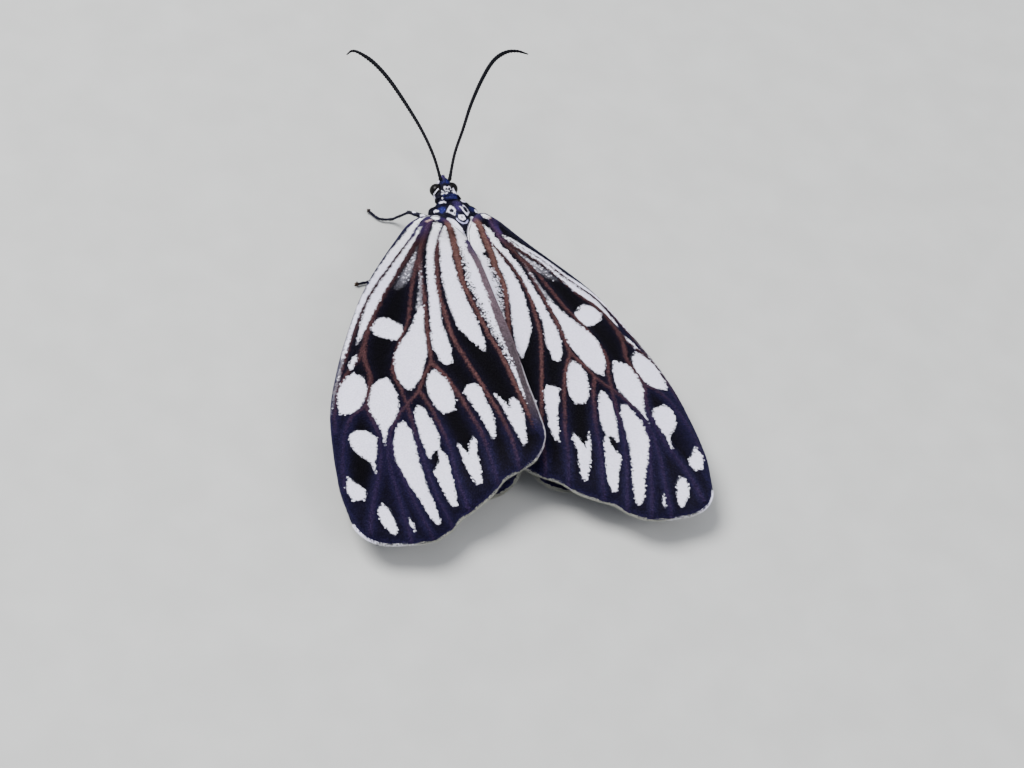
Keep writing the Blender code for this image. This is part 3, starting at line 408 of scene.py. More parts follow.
# The parts of the body's skin: solids, ellipsoids (centre, radii, turn about X) and the limbs
SWOLLEN_NODES = ["thorax", "collar", "abdomen"]
BODY_LUMPS = [
    ((HEAD_X, 4.26, 3.76), (0.62, 0.64, 0.78), 0.0),  # head between the eyes
    ((HEAD_X, 4.72, 3.42), (0.42, 0.42, 0.62), 0.0),  # face
    ((HEAD_X + 0.05, 4.52, 4.32), (0.46, 0.34, 0.24), 0.2),  # crown between the antennae
    ((-0.28, 4.90, 4.52), (0.17, 0.20, 0.28), 0.0),  # tuft in front of them
    ((-0.44, 4.88, 4.44), (0.13, 0.17, 0.24), 0.0),
    ((-0.64, 4.78, 4.06), (0.12, 0.16, 0.18), 0.0),  # beside the antennae
    ((0.22, 4.78, 4.06), (0.12, 0.16, 0.18), 0.0),
    ((HEAD_X, 3.76, 3.60), (0.60, 0.50, 0.62), 0.0),  # neck
    ((HEAD_X - 0.66, 3.86, 3.70), (0.36, 0.20, 0.42), 0.0),  # cheeks behind the eyes
    ((HEAD_X + 0.64, 3.86, 3.70), (0.32, 0.20, 0.42), 0.0),
    ((-0.08, 3.00, 3.55), (0.90, 0.40, 0.62), 0.0),  # between collar and thorax
    ((-1.35, 1.65, 3.80), (0.58, 0.75, 0.50), 0.0),  # left shoulder
    ((-1.50, 2.10, 3.50), (0.50, 0.55, 0.45), 0.0),
    ((1.38, 1.65, 3.74), (0.55, 0.75, 0.48), 0.0),  # right shoulder
    ((-0.75, 3.40, 3.45), (0.40, 0.30, 0.42), 0.0),  # left end of the collar
    ((0, -3.6, 2.90), (0.95, 0.80, 0.95), 0.0),  # waist
]
SKIN_CLOSING = 0.24  # how far the parts swell before they join
SKIN_DEPTH = 0.05  # of the coat over the skin
SKIN_VOXEL = 0.075
SKIN_SMOOTHING, SKIN_SMOOTH_ROUNDS = 0.5, 4
LIMB_STEP, FOOT_STEP, PALP_STEP, LIMB_SIDES = 0.15, 0.06, 0.08, 12
FOOT_JOINT_SHARPNESS = 0.6
LIMB_REACH, LIMB_BESIDE, LIMB_BELOW = 0.42, 1.75, 1.4

# The white marks on top of the body, as outlines seen from above, then the dark holes in them
BODY_MARKS = [
    [(-0.55, 3.68), (-0.44, 3.66), (-0.23, 3.63), (-0.15, 3.55), (-0.32, 3.46), (-0.5, 3.55), (-0.7, 3.56)],
    [(-0.66, 3.92), (-0.61, 3.89), (-0.46, 3.74), (-0.5, 3.71)],
    [
        (-0.44, 3.95), (-0.38, 4.06), (-0.24, 4.02), (-0.15, 3.97), (0.0, 4.1), (0.18, 4.06), (0.2, 3.92),
        (0.01, 3.74), (-0.26, 3.75), (-0.4, 3.83),
    ],
    [(0.36, 3.98), (0.47, 3.86), (0.66, 3.72), (0.62, 3.63), (0.42, 3.63), (0.24, 3.73)],
    [(-0.72, 3.22), (-0.66, 3.18), (-0.6, 3.08), (-0.64, 3.05), (-0.72, 3.12)],
    [
        (-1.02, 2.8), (-0.85, 2.82), (-0.66, 2.7), (-0.56, 2.43), (-0.63, 2.35), (-0.75, 2.5),
        (-0.91, 2.42), (-1.06, 2.52),
    ],
    [(0.62, 2.72), (0.8, 2.8), (1.02, 2.62), (1.02, 2.45), (0.85, 2.42), (0.69, 2.46)],
    [
        (-0.53, 1.73), (-0.35, 1.36), (-0.29, 1.02), (-0.33, 0.79), (-0.44, 0.49), (-0.61, 0.77),
        (-0.75, 1.06), (-0.85, 1.33), (-0.75, 1.47), (-0.66, 1.59),
    ],
    [
        (0.07, 1.35), (0.15, 1.39), (0.32, 1.22), (0.45, 1.64), (0.6, 1.66), (0.88, 1.62), (1.02, 1.35),
        (0.78, 0.85), (0.6, 0.5), (0.48, 0.51), (0.32, 0.79), (0.18, 1.12),
    ],
    [
        (-0.2, 0.46), (0.06, 0.5), (0.27, 0.44), (0.33, 0.26), (0.34, 0.1), (0.09, -0.01), (-0.1, 0.05),
        (-0.24, 0.26),
    ],
    [(-1.72, 1.8), (-1.53, 1.87), (-1.33, 1.67), (-1.41, 1.53), (-1.58, 1.62), (-1.7, 1.58)],
    [(-1.94, 1.26), (-1.72, 1.28), (-1.55, 1.17), (-1.5, 0.8), (-1.95, 0.8)],
    [(1.55, 1.74), (1.7, 1.72), (1.91, 1.55), (1.65, 1.42), (1.53, 1.58)],
    [(-0.74, 4.92), (-0.58, 4.96), (-0.56, 4.72), (-0.66, 4.6), (-0.78, 4.68)],
    [(0.16, 4.92), (0.32, 4.96), (0.34, 4.72), (0.24, 4.6), (0.14, 4.68)],
]
BODY_HOLES = [
    [(-0.36, 3.88), (-0.25, 3.96), (-0.14, 3.9), (-0.12, 3.8), (-0.27, 3.79)],
    [(-0.09, 3.88), (0.01, 4.0), (0.13, 3.99), (0.14, 3.9), (0.02, 3.79), (-0.08, 3.81)],
    [(-0.69, 1.32), (-0.5, 1.27), (-0.4, 1.0), (-0.51, 0.82), (-0.69, 1.04)],
    [(-0.49, 0.8), (-0.37, 0.86), (-0.36, 0.68), (-0.47, 0.65)],
    [(0.32, 1.16), (0.46, 1.46), (0.76, 1.41), (0.88, 1.26), (0.59, 0.78), (0.41, 0.88)],
    [(0.0, 0.34), (0.06, 0.36), (0.08, 0.2), (0.02, 0.18)],
]
# Beside the scutellum the wings' white root fields run on over the body
FLANK_STREAKS = [
    [
        (-0.9, 0.78), (-0.66, 0.37), (-0.45, 0.03), (-0.26, -0.31), (0.0, -0.68), (0.26, -0.82),
        (0.26, -1.25), (-0.5, -1.25), (-1.3, -0.6), (-1.3, 0.1),
    ],
    [
        (0.9, 0.75), (1.14, 0.95), (1.3, 0.9), (1.4, 0.3), (0.9, -0.6), (0.4, -1.0), (0.3, -0.69),
        (0.36, -0.53), (0.6, -0.09), (0.87, 0.46),
    ],
]
MARKS_BOTTOM = 3.45  # the marks seen from above lie above this height
# A pale line round the rear of the shield at the back of the thorax
SHIELD_LINE = [
    (-0.43, 0.28), (-0.35, 0.27), (-0.27, 0.07), (-0.12, -0.12), (0.07, -0.19), (0.28, -0.14),
    (0.54, 0.18), (0.61, 0.18), (0.42, -0.15), (0.17, -0.29), (-0.09, -0.21), (-0.31, -0.02),
]
# White patches on the sides: centre and radius
SIDE_SPOTS = [
    ((-2.14, 2.76, 2.54), 0.28), ((2.1, 2.6, 2.5), 0.28), ((-2.55, 3.55, 2.35), 0.22),
    ((-1.12, 3.8, 3.52), 0.2), ((0.7, 3.8, 3.62), 0.2), ((-1.45, 0.2, 3.1), 0.35),
    ((1.45, 0.2, 3.1), 0.35), ((-1.3, 2.3, 2.6), 0.3), ((1.3, 2.3, 2.6), 0.3),
]
# Shining fields: centre, radius, strength
BLUE_FIELDS = [
    ((-0.42, 4.52, 4.4), 0.26, 0.9), ((-0.02, 4.5, 4.46), 0.28, 1.0), ((0.18, 3.16, 4.15), 0.46, 0.8),
    ((-0.35, 3.2, 4.2), 0.4, 0.4), ((-1.07, 1.74, 4.25), 0.4, 1.6), ((1.36, 1.76, 4.17), 0.34, 0.7),
    ((-0.28, 0.62, 4.95), 0.2, 0.5), ((-1.1, 2.6, 4.0), 0.35, 0.5),
]
VIOLET_FIELDS = [
    ((0.03, 1.25, 5.0), 0.42, 1.0), ((0.05, 1.8, 4.9), 0.38, 0.8), ((-0.28, 4.98, 4.72), 0.36, 1.0),
]
FIELD_CORE, BLUE_FADE, VIOLET_FADE = 0.5, 0.6, 0.8  # in radii of a field
BLOTCH = 0.22  # mm between brighter and darker patches of the shining scales
# The white rings of the abdomen
ABDOMEN_START, ABDOMEN_HALF_WIDTH = -3.9, 1.6
RING_START, RING_STEP, RING_DARK, RING_TOP = 3.76, 1.62, 0.62, 3.3
CLAW_START = (0.1, 0.25)

# The unwrap of the body's coat: the trunk on the left, a strip for each length of each leg on the right
LEG_LENGTHS = 24
TRUNK_SHARE = 0.7  # of the unwrap's width
UNWRAP_GAP, UNWRAP_REAR, UNWRAP_LENGTH, TRUNK_AXIS, LEG_AXIS = 0.01, 16.5, 24.0, 3.0, 1.2
STRIP_GAP, STRIP_SHARE = 0.1, 0.8
FINE_SCALE, COARSE_SCALE = 0.0027, 0.013  # mm2 of skin for each scale on the front and elsewhere
FINE_REAR, FINE_BOTTOM = -1.0, 3.3  # the front is before and above these
FINE_LENGTH, LIMB_LENGTH, COARSE_LENGTH, BODY_SCALE_WIDTH = 0.085, 0.14, 0.22, 0.62
FINE_LIFT, LIMB_LIFT, COARSE_LIFT = 0.022, 0.03, 0.04
REARWARD, LEAN_SPREAD, LENGTH_SPREAD, PLACE_SPREAD = (0.0, -1.0, 0.0), 0.2, (0.8, 1.2), 0.010
EYE_RIM_STEP, EYE_RIM_SPREAD, EYE_RIM_DEPTH = 0.010, 0.022, 0.01
BODY_SHADE, BODY_SHADE_SPREAD, BODY_WHITE_SHADES = -0.25, 0.7, (0.85, 1.0)
SOLE_CLEARANCE = 0.15  # below this height no scale points down

# Linear colours
WHITE = np.array((0.89, 0.87, 1.0))
ROOT_WHITE = np.array((0.93, 0.92, 0.96))
BLACK = np.array((0.0025, 0.0022, 0.0035))
NAVY = np.array((0.011, 0.009, 0.033))
BROWN = np.array((0.102, 0.046, 0.044))
ROOT_BROWN = np.array((0.132, 0.064, 0.056))
MAROON = np.array((0.0384, 0.0168, 0.0208))
VIOLET = np.array((0.019, 0.012, 0.038))
ROOT_VIOLET = np.array((0.034, 0.020, 0.088))
HINGE_VIOLET = 0.6 * ROOT_VIOLET
PINK = np.array((0.50, 0.33, 0.30))
MARGIN_VIOLET = 2.0 * VIOLET
MARGIN_GREY = np.array((0.118, 0.082, 0.100))
MARGIN_DARK = np.array((0.062, 0.048, 0.056))
# painted highlight: the pale line along the forewing's rear edge, and the rear hairs further out
REAR_EDGE_HIGHLIGHT = np.array((0.38, 0.36, 0.40))
FRINGE_GREY = np.array((0.27, 0.27, 0.235))
HIND_WHITE = np.array((0.62, 0.62, 0.64))
SHIELD_PALE = np.array((0.50, 0.50, 0.80))
METAL_BLUE = np.array((0.013, 0.014, 0.090))
METAL_VIOLET = np.array((0.038, 0.024, 0.098))
BLUE_BLACK = np.array((0.0035, 0.0030, 0.012))
CLAW_BROWN = np.array((0.060, 0.035, 0.020))
FLOOR_COLOURS = (0.425, 0.425, 0.41), (0.455, 0.455, 0.44)
WORLD_COLOUR, WORLD_STRENGTH = (0.86, 0.90, 1.0, 1.0), 0.75
# Lights: name, place, size and power
LIGHTS = [("key", (-0.25, 0.15, 0.45), 0.30, 6.0), ("fill", (0.35, -0.30, 0.35), 0.35, 1.8)]
FLOOR_HALF, FLOOR_DROP = 1.5, 0.0001  # metres

CAMERA_AZIMUTH, CAMERA_ELEVATION, CAMERA_ROLL = radians(-27.62), radians(49.45), radians(17.29)
CAMERA_DISTANCE = 169.1
CAMERA_TARGET = (0.49, -14.96, 3.5)
CAMERA_FOV = radians(25)
CAMERA_NEAR, CAMERA_FAR = 0.002, 10.0  # metres

SIDES = ((-1, "left"), (1, "right"))

rng = np.random.default_rng(SEED)
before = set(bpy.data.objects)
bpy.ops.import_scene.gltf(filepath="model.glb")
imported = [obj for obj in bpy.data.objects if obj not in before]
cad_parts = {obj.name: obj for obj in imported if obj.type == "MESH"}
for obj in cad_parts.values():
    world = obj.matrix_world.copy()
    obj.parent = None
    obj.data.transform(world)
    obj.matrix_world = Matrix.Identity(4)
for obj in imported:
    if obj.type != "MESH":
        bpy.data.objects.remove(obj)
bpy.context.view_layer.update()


def frame_shift():
    """What turns the wing-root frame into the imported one, read from the eyes' place."""
    left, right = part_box("eye_left"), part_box("eye_right")
    return np.array((
        (left[0].x + right[1].x) / 2 / MM - HEAD_X,
        left[1].y / MM - (EYE_CENTRE[1] + EYE_RADIUS),
        left[1].z / MM - (EYE_CENTRE[2] + EYE_RADIUS),
    ))


SHIFT = frame_shift()


def to_model(points):
    """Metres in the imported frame, from millimetres in the wing roots' frame."""
    return (np.asarray(points, float) + SHIFT) * MM


def ease(t):
    """A smooth step from 0 to 1 as t goes from 0 to 1."""
    t = np.clip(t, 0.0, 1.0)
    return t * t * (3.0 - 2.0 * t)


def fade_in(value, start, length):
    """A smooth step from 0 to 1 that begins at start and is complete after length."""
    return ease((value - start) / length)


def read_line(line, x):
    """The height at x of a broken line, given as points."""
    return np.interp(x, *np.array(line).T)


def unit(vectors):
    """The vectors at length 1."""
    return vectors / np.maximum(np.linalg.norm(vectors, axis=1), 1e-12)[:, None]


def mix(a, b, share):
    """Colour a, with the given share of colour b for each point."""
    share = np.asarray(share)[:, None]
    return a * (1 - share) + b * share


def curve_through(points, step):
    """Points about step apart on a smooth curve through the given ones."""
    points = np.asarray(points, float)
    padded = np.vstack([2 * points[0] - points[1], points, 2 * points[-1] - points[-2]])
    t = np.linspace(0, 1, 24, endpoint=False)[:, None]
    dense = []
    for a, b, c, d in zip(padded, padded[1:], padded[2:], padded[3:]):
        square, cube = 2 * a - 5 * b + 4 * c - d, 3 * b - a - 3 * c + d
        dense.append(0.5 * (2 * b + (c - a) * t + square * t**2 + cube * t**3))
    dense = np.vstack([*dense, points[-1:]])
    lengths = np.concatenate([[0], np.cumsum(np.linalg.norm(np.diff(dense, axis=0), axis=1))])
    goals = np.linspace(0, lengths[-1], max(2, round(lengths[-1] / step) + 1))
    return np.stack([np.interp(goals, lengths, dense[:, k]) for k in range(dense.shape[1])], axis=1)


def closed_curve(points, step):
    """Points about step apart on a smooth closed curve through the given ones."""
    points = list(points)
    wrapped = points[-2:] + points + points[:2]
    dense = curve_through(wrapped, step)
    start = np.argmin(np.linalg.norm(dense[: len(dense) // 3] - points[0], axis=1))
    half = len(dense) // 2
    end = half + np.argmin(np.linalg.norm(dense[half:] - points[0], axis=1))
    return dense[start:end]


def inside(outline, points):
    """Which points lie inside an outline in the plane."""
    outline = np.asarray(outline, float)
    found = np.zeros(len(points), bool)
    x, y = points[:, 0], points[:, 1]
    for a, b in zip(outline, np.roll(outline, -1, axis=0)):
        if a[1] == b[1]:
            continue
        spans = (a[1] > y) != (b[1] > y)
        found ^= spans & (x < a[0] + (b[0] - a[0]) * (y - a[1]) / (b[1] - a[1]))
    return found


def inside_any(outlines, points):
    """Which points lie inside at least one of the outlines."""
    found = np.zeros(len(points), bool)
    for outline in outlines:
        found |= inside(outline, points)
    return found


def distance_to(line, points, closed=False):
    """Distance of each point from a polyline in the plane."""
    line = np.asarray(line, float)
    ends = np.roll(line, -1, axis=0) if closed else line[1:]
    starts = line if closed else line[:-1]
    best = np.full(len(points), 1e9)
    for a, b in zip(starts, ends):
        d = b - a
        t = np.clip(((points - a) @ d) / max(d @ d, 1e-12), 0, 1)
        best = np.minimum(best, np.linalg.norm(points - a - t[:, None] * d, axis=1))
    return best


def inset(outline, amount):
    """The outline moved inwards."""
    before, after = np.roll(outline, 1, axis=0), np.roll(outline, -1, axis=0)
    along = after - before
    along /= np.linalg.norm(along, axis=1)[:, None]
    normal = np.stack([-along[:, 1], along[:, 0]], axis=1)
    if not inside(outline, outline[:1] + normal[:1] * 0.05)[0]:
        normal = -normal
    return outline + normal * amount


def roof_height(x, y):
    """Height of the roof that the wings follow: it falls sideways, droops outwards and dips at the roots."""
    x = np.abs(x)
    across = np.sqrt(x * x + RIDGE_RADIUS**2) - WING_ROOT_X
    from_root = np.hypot(x - WING_ROOT_X, y)
    dip = ROOT_DIP * ease(1 + (y - ROOT_DIP_START) / ROOT_DIP_REACH)
    beside = 1 - ease((x - REAR_DROOP_HALF_WIDTH) / REAR_DROOP_FADE)
    droop = REAR_DROOP * beside * ease((-y - REAR_DROOP_START) / REAR_DROOP_LENGTH)
    return (WING_ROOT_Z - np.tan(ROOF_PITCH) * across + np.tan(ROOF_FALL) * y
            - ROOF_DROOP * (from_root / FOREWING_SPAN) ** 2 - dip - droop)


def overlap(own_x, y):
    """How fully the wings lie over each other: 1 along the middle line, 0 beside it and near the head."""
    beside = 1 - ease((own_x - OVERLAP_FLAT) / (OVERLAP_FADE - OVERLAP_FLAT))
    return beside * ease((-y - OVERLAP_START) / (OVERLAP_FULL - OVERLAP_START))


def fold(span, chord):
    """How far the forewing is folded down along its front edge."""
    at_root, per_span, most = FOLD_START
    beyond = np.maximum(-most, -at_root - per_span * span) - chord
    beyond = (beyond + np.hypot(beyond, FOLD_ROUNDING)) / 2
    return FOLD_SLOPE * (1 - ease((span - FOLD_FADE_START) / FOLD_FADE_LENGTH)) * beyond


def forewing_place(side, span, chord):
    """Where a point of the forewing's plane lies in space."""
    own_x = WING_ROOT_X + span * sin(FOREWING_SWEEP) - chord * cos(FOREWING_SWEEP)
    y = -span * cos(FOREWING_SWEEP) - chord * sin(FOREWING_SWEEP)
    tip = TIP_LIFT * fade_in(span, TIP_LIFT_START, TIP_LIFT_LENGTH) * (1 - ease(chord / TIP_LIFT_CHORD))
    z = roof_height(own_x, y) - side * OVERLAP_LIFT * overlap(own_x, y) - fold(span, chord) + tip
    return np.stack([side * own_x, y, z], axis=1)


def hindwing_place(side, x, y):
    """Where a point of the hindwing's plane lies in space."""
    z = roof_height(x, y) - OVERLAP_LIFT * overlap(x, y) - HINDWING_DROP
    return np.stack([side * x, y, z], axis=1)


def pattern_place(side, p):
    """Where the pattern is looked up: further out near the root, and moved on the right wing's front edge."""
    span, chord = p[:, 0], p[:, 1]
    if side > 0:
        edge = read_line(COSTAL_EDGE, span)
        seen = edge + read_line(COSTAL_SHIFT, chord - edge)
        share = (1 - fade_in(span, *COSTAL_SHIFT_END)) * fade_in(span, *COSTAL_SHIFT_START)
        chord = chord + (seen - chord) * share
    return np.stack([span + ROOT_DRAW * (1 - fade_in(span, *ROOT_DRAW_SPAN)), chord], axis=1)


class Wing:
    """One wing: where its plane points lie in space, and what colour its scales have there."""

    def __init__(self, kind, side):
        """Side is -1 for left and 1 for right."""
        self.kind, self.side, self.fore = kind, side, kind == "forewing"
        self.corners = FOREWING_OUTLINE if self.fore else HINDWING_OUTLINE
        self.outline = closed_curve(self.corners, OUTLINE_STEP)
        half = HINDWING_VEIN_HALF
        veins = FOREWING_VEINS if self.fore else [(half, half, 0.0, 0.0, line) for line in HINDWING_VEINS]
        self.veins = [(*rest, curve_through(line, VEIN_STEP)) for *rest, line in veins]
        self.place_at = forewing_place if self.fore else hindwing_place
        self.fan = np.array(FOREWING_FAN if self.fore else HINDWING_FAN)
        if self.fore:
            self.root_band = curve_through(ROOT_BANDS[side], ROOT_BAND_STEP)

    def place(self, p):
        """Where plane points lie in space."""
        return self.place_at(self.side, p[:, 0], p[:, 1])

    def axes(self, p):
        """Place, its derivatives along both coordinates, and the upper normal."""
        h = 0.05
        u = (self.place(p + (h, 0)) - self.place(p - (h, 0))) / (2 * h)
        v = (self.place(p + (0, h)) - self.place(p - (0, h))) / (2 * h)
        normal = unit(np.cross(u, v))
        normal *= np.sign(normal[:, 2:3])
        return self.place(p), u, v, normal

    def vein_distance(self, p):
        """Distance from the nearest vein's band, the plain distance, and how brown that band is."""
        banded, plain, brown = np.full(len(p), 1e9), np.full(len(p), 1e9), np.zeros(len(p))
        seen = pattern_place(self.side, p) if self.fore else p
        reach = fade_in(seen[:, 0], *VEIN_TAPER)
        bands = [(distance_to(line, seen), near + (far - near) * reach, inner + (outer - inner) * reach)
                 for near, far, inner, outer, line in self.veins]
        if self.fore:
            bands.append((distance_to(self.root_band, p), ROOT_BAND_HALF, ROOT_BAND_BROWN))
        for distance, half_width, tone in bands:
            gap = distance - half_width
            brown = np.where(gap < banded, tone, brown)
            banded = np.minimum(banded, gap)
            plain = np.minimum(plain, distance)
        return banded, plain, brown

    def half_thickness(self, p, rim_distance, upper):
        """Half the skin's thickness, thin at the rim; above, the veins are raised and the fields sunk."""
        inner = ease(rim_distance / SKIN_RIM_FADE)
        half = SKIN_RIM_HALF + (SKIN_HALF - SKIN_RIM_HALF) * inner
        if self.fore:
            thick = (1 - fade_in(p[:, 1], *COSTAL_RIM_CHORD)) * (1 - fade_in(p[:, 0], *COSTAL_RIM_SPAN))
            half = half + (COSTAL_RIM_HALF - SKIN_RIM_HALF) * thick * (1 - inner)
        if not upper:
            return half
        plain = self.vein_distance(p)[1]
        rise = VEIN_RISE * np.exp(-((plain / VEIN_SIGMA) ** 2)) * ease(rim_distance / VEIN_RISE_FADE)
        return half + rise - FIELD_DIP * ease(plain / FIELD_DIP_FADE)

    def tint(self, p, upper=True):
        """Colours of the scales there, and which of them are white."""
        return forewing_tint(self, p, upper) if self.fore else hindwing_tint(self, p)


def dark_ground(side, seen, rim, plain):
    """Black with a navy gleam beside the veins, along the rim and at the tip."""
    span, chord = seen.T
    gleam = VEIN_GLEAM_INNER + (1 - VEIN_GLEAM_INNER) * fade_in(span, *VEIN_GLEAM_SPAN)
    reach = np.where((chord < 0) & (side > 0), RIGHT_FRONT_GLEAM, RIM_GLEAM)
    navy = np.maximum(np.exp(-((plain / VEIN_GLEAM) ** 2)) * gleam, np.exp(-((rim / reach) ** 2)))
    navy = np.maximum(navy, TIP_GLEAM * fade_in(span + TIP_GLEAM_SLANT * chord, *TIP_GLEAM_SPAN))
    return mix(BLACK, NAVY, np.clip(navy, 0, 1))


def with_bands(colour, true_span, seen, banded, plain, brown):
    """The ground with the veins' bands: maroon, violet further out and at the root, some of them brown."""
    span, chord = seen.T
    root = 1 - ease((span - BAND_ROOT_SPAN[0]) / BAND_ROOT_SPAN[1] + BAND_ROOT_REAR * ease(chord))
    band = mix(mix(MAROON, VIOLET, fade_in(span, *BAND_VIOLET_SPAN)), ROOT_VIOLET, root)
    band = mix(band, BROWN, np.clip(brown * (1 - fade_in(span, *BAND_BROWN_END)), 0, 1))
    band = mix(band, ROOT_BROWN, np.clip(brown - 1, 0, 1))
    band = mix(BAND_SIDE_SHADE * band, band, np.exp(-((plain / BAND_CORE) ** 2)))
    colour = mix(colour, band, 1 - fade_in(banded, *BAND_EDGE))
    return mix(colour, HINGE_VIOLET, (1 - fade_in(true_span, *HINGE_END)) * HINGE_SHARE)


def with_margin(colour, seen, rim):
    """The ground with the mauve inner margin and a painted highlight, a pale line on its rear edge, and where
    the margin is.
    """
    span, chord = seen.T
    margin = (chord > read_line(MARGIN_START, span)) & (span < MARGIN_END) & (chord > MARGIN_CHORD)
    tone = mix(MARGIN_VIOLET, MARGIN_GREY, fade_in(span, *MARGIN_GREY_SPAN))
    tone = mix(tone, MARGIN_DARK, fade_in(span, *MARGIN_DARK_SPAN))
    tone = mix(tone, NAVY, fade_in(span, *MARGIN_NAVY_SPAN))
    colour = np.where(margin[:, None], tone, colour)
    # a painted highlight: a pale line along the rear edge of the outer part
    start, end = HIGHLIGHT_LINE_SPAN
    line = (rim < HIGHLIGHT_LINE_WIDTH) & (chord > HIGHLIGHT_LINE_CHORD) & (span > start) & (span < end)
    return np.where(line[:, None], REAR_EDGE_HIGHLIGHT, colour), margin


def white_scales(wing, p, seen, rim, margin):
    """Which scales are white: those of the marks, less the dark flecks, and of the spots at the root."""
    span, chord = seen.T
    border = FRONT_BORDER - FRONT_BORDER_LOSS * fade_in(span, *FRONT_BORDER_SPAN)
    white = inside_any(MARKS, seen) & ((chord > FRONT_CHORD) | (rim > border))
    vein = wing.veins[FLECKED_VEIN][-1]
    beside = np.minimum(distance_to(vein, seen), distance_to(wing.root_band, p))
    start, end = FLECK_SPAN
    behind = (chord > read_line(vein, span)) & (span > start) & (span < end)
    flecked = behind & (beside > FLECK_START) & (beside < FLECK_START + FLECK_REACH)
    dark_share = FLECK_SHARE * (1 - fade_in(beside, FLECK_START, FLECK_REACH)) * (
        FLECK_ROOT_SHARE + (1 - FLECK_ROOT_SHARE) * fade_in(span, *FLECK_INCREASE))
    white = np.where(flecked, rng.random(len(p)) > dark_share, white)
    white &= ~margin & ((beside > BAND_CLEARANCE) | (span > BAND_CLEARANCE_SPAN))
    white |= inside(ROOT_WEDGES[wing.side], p) & (beside > WEDGE_CLEARANCE) & ~margin
    if wing.side > 0:
        from_edge = p[:, 1] - read_line(COSTAL_EDGE, p[:, 0])
        white &= from_edge >= read_line(RIGHT_ROOT_FRONT, p[:, 0])
        white &= (from_edge > read_line(RIGHT_FRONT, p[:, 0])) | (p[:, 0] > RIGHT_FRONT[-1][0])
    return white | inside(ROOT_SPOTS[wing.side], wing.place(p)[:, :2])


def dusted(colour, white, seen, pale):
    """Colours and white scales with the loose dusting."""
    for inner, outer, fade, outline in DUSTING:
        outline = np.array(outline)
        low, high = outline[:, 0].min(), outline[:, 0].max()
        share = inner + (outer - inner) * fade_in(seen[:, 0], low, high - low)
        share = share * ease(distance_to(outline, seen, closed=True) / fade) * inside(outline, seen)
        draw = rng.random(len(seen))
        white = white | (draw < DUST_WHITE * share)
        colour = mix(colour, DUST_TONE * pale, np.clip(DUST_HAZE * share * (0.5 + draw), 0, 1))
    return colour, white


def forewing_tint(wing, p, upper):
    """Colour of the forewing's scales, drawn from its veins and the outlines of its marks."""
    rim = distance_to(wing.outline, p, closed=True)
    seen = pattern_place(wing.side, p)
    banded, plain, brown = wing.vein_distance(p)
    colour = with_bands(dark_ground(wing.side, seen, rim, plain), p[:, 0], seen, banded, plain, brown)
    colour, margin = with_margin(colour, seen, rim)
    pale = mix(ROOT_WHITE, WHITE, fade_in(seen[:, 0], *ROOT_WHITE_END))
    colour, white = dusted(colour, white_scales(wing, p, seen, rim, margin), seen, pale)
    pink = np.linalg.norm(p - PINK_CENTRE, axis=1) < PINK_RADIUS
    white |= pink
    pale = np.where(pink[:, None], PINK, pale)
    colour = np.where(white[:, None], pale, colour)
    if not upper:
        colour = np.where(white[:, None], UNDER_WHITE * colour, UNDER_DARK * colour + UNDER_LIFT)
    return colour, white


def hindwing_tint(wing, p):
    """Greyish white with dark veins, a broad dark border and dark scales along the front edge."""
    banded, plain, _ = wing.vein_distance(p)
    rim = distance_to(wing.outline, p, closed=True)
    width = HIND_BORDER_REAR * fade_in(-p[:, 1], *HIND_BORDER_GROWTH)
    border = 1 - ease((rim - HIND_BORDER - width) / HIND_BORDER_EDGE)
    dark = np.maximum(border, 1 - ease(banded / HIND_VEIN_EDGE))
    dark = np.maximum(dark, HIND_VEIN_SHADE * np.exp(-((plain / HIND_VEIN_SPREAD) ** 2)))
    white = dark < 0.5
    navy = mix(BLACK, NAVY, np.exp(-((rim / HIND_RIM_GLEAM) ** 2)))
    return np.where(white[:, None], HIND_WHITE, navy), white


def add_object(name, data):
    """A new object in the scene."""
    obj = bpy.data.objects.new(name, data)
    bpy.context.scene.collection.objects.link(obj)
    return obj


def evaluated_mesh(obj):
    """A new mesh of the object's shape with its modifiers or bevel."""
    bpy.context.view_layer.update()
    return bpy.data.meshes.new_from_object(obj.evaluated_get(bpy.context.evaluated_depsgraph_get()))


def set_tint(mesh, tint):
    """Stores a colour for each point, for the surfaces to read."""
    layer = mesh.attributes.new("tint", "FLOAT_COLOR", "POINT")
    rgba = np.concatenate([tint, np.ones((len(tint), 1))], axis=1)
    layer.data.foreach_set("color", rgba.astype(np.float32).ravel())


def mesh_from(name, points, faces, material, tint=None, patch=None, smooth=False):
    """A mesh object from arrays of points (millimetres) and triangles, with a colour per point."""
    mesh = bpy.data.meshes.new(name)
    mesh.vertices.add(len(points))
    mesh.vertices.foreach_set("co", to_model(points).astype(np.float32).ravel())
    mesh.loops.add(faces.size)
    mesh.loops.foreach_set("vertex_index", faces.astype(np.int32).ravel())
    mesh.polygons.add(len(faces))
    mesh.polygons.foreach_set("loop_start", np.arange(0, faces.size, 3, dtype=np.int32))
    mesh.update(calc_edges=True)
    if tint is not None:
        set_tint(mesh, tint)
    if patch is not None:
        layer = mesh.uv_layers.new(name="OFBake")
        layer.uv.foreach_set("vector", patch[faces.ravel()].astype(np.float32).ravel())
    mesh.polygons.foreach_set("use_smooth", np.full(len(faces), smooth))
    mesh.materials.append(material)
    return add_object(name, mesh)


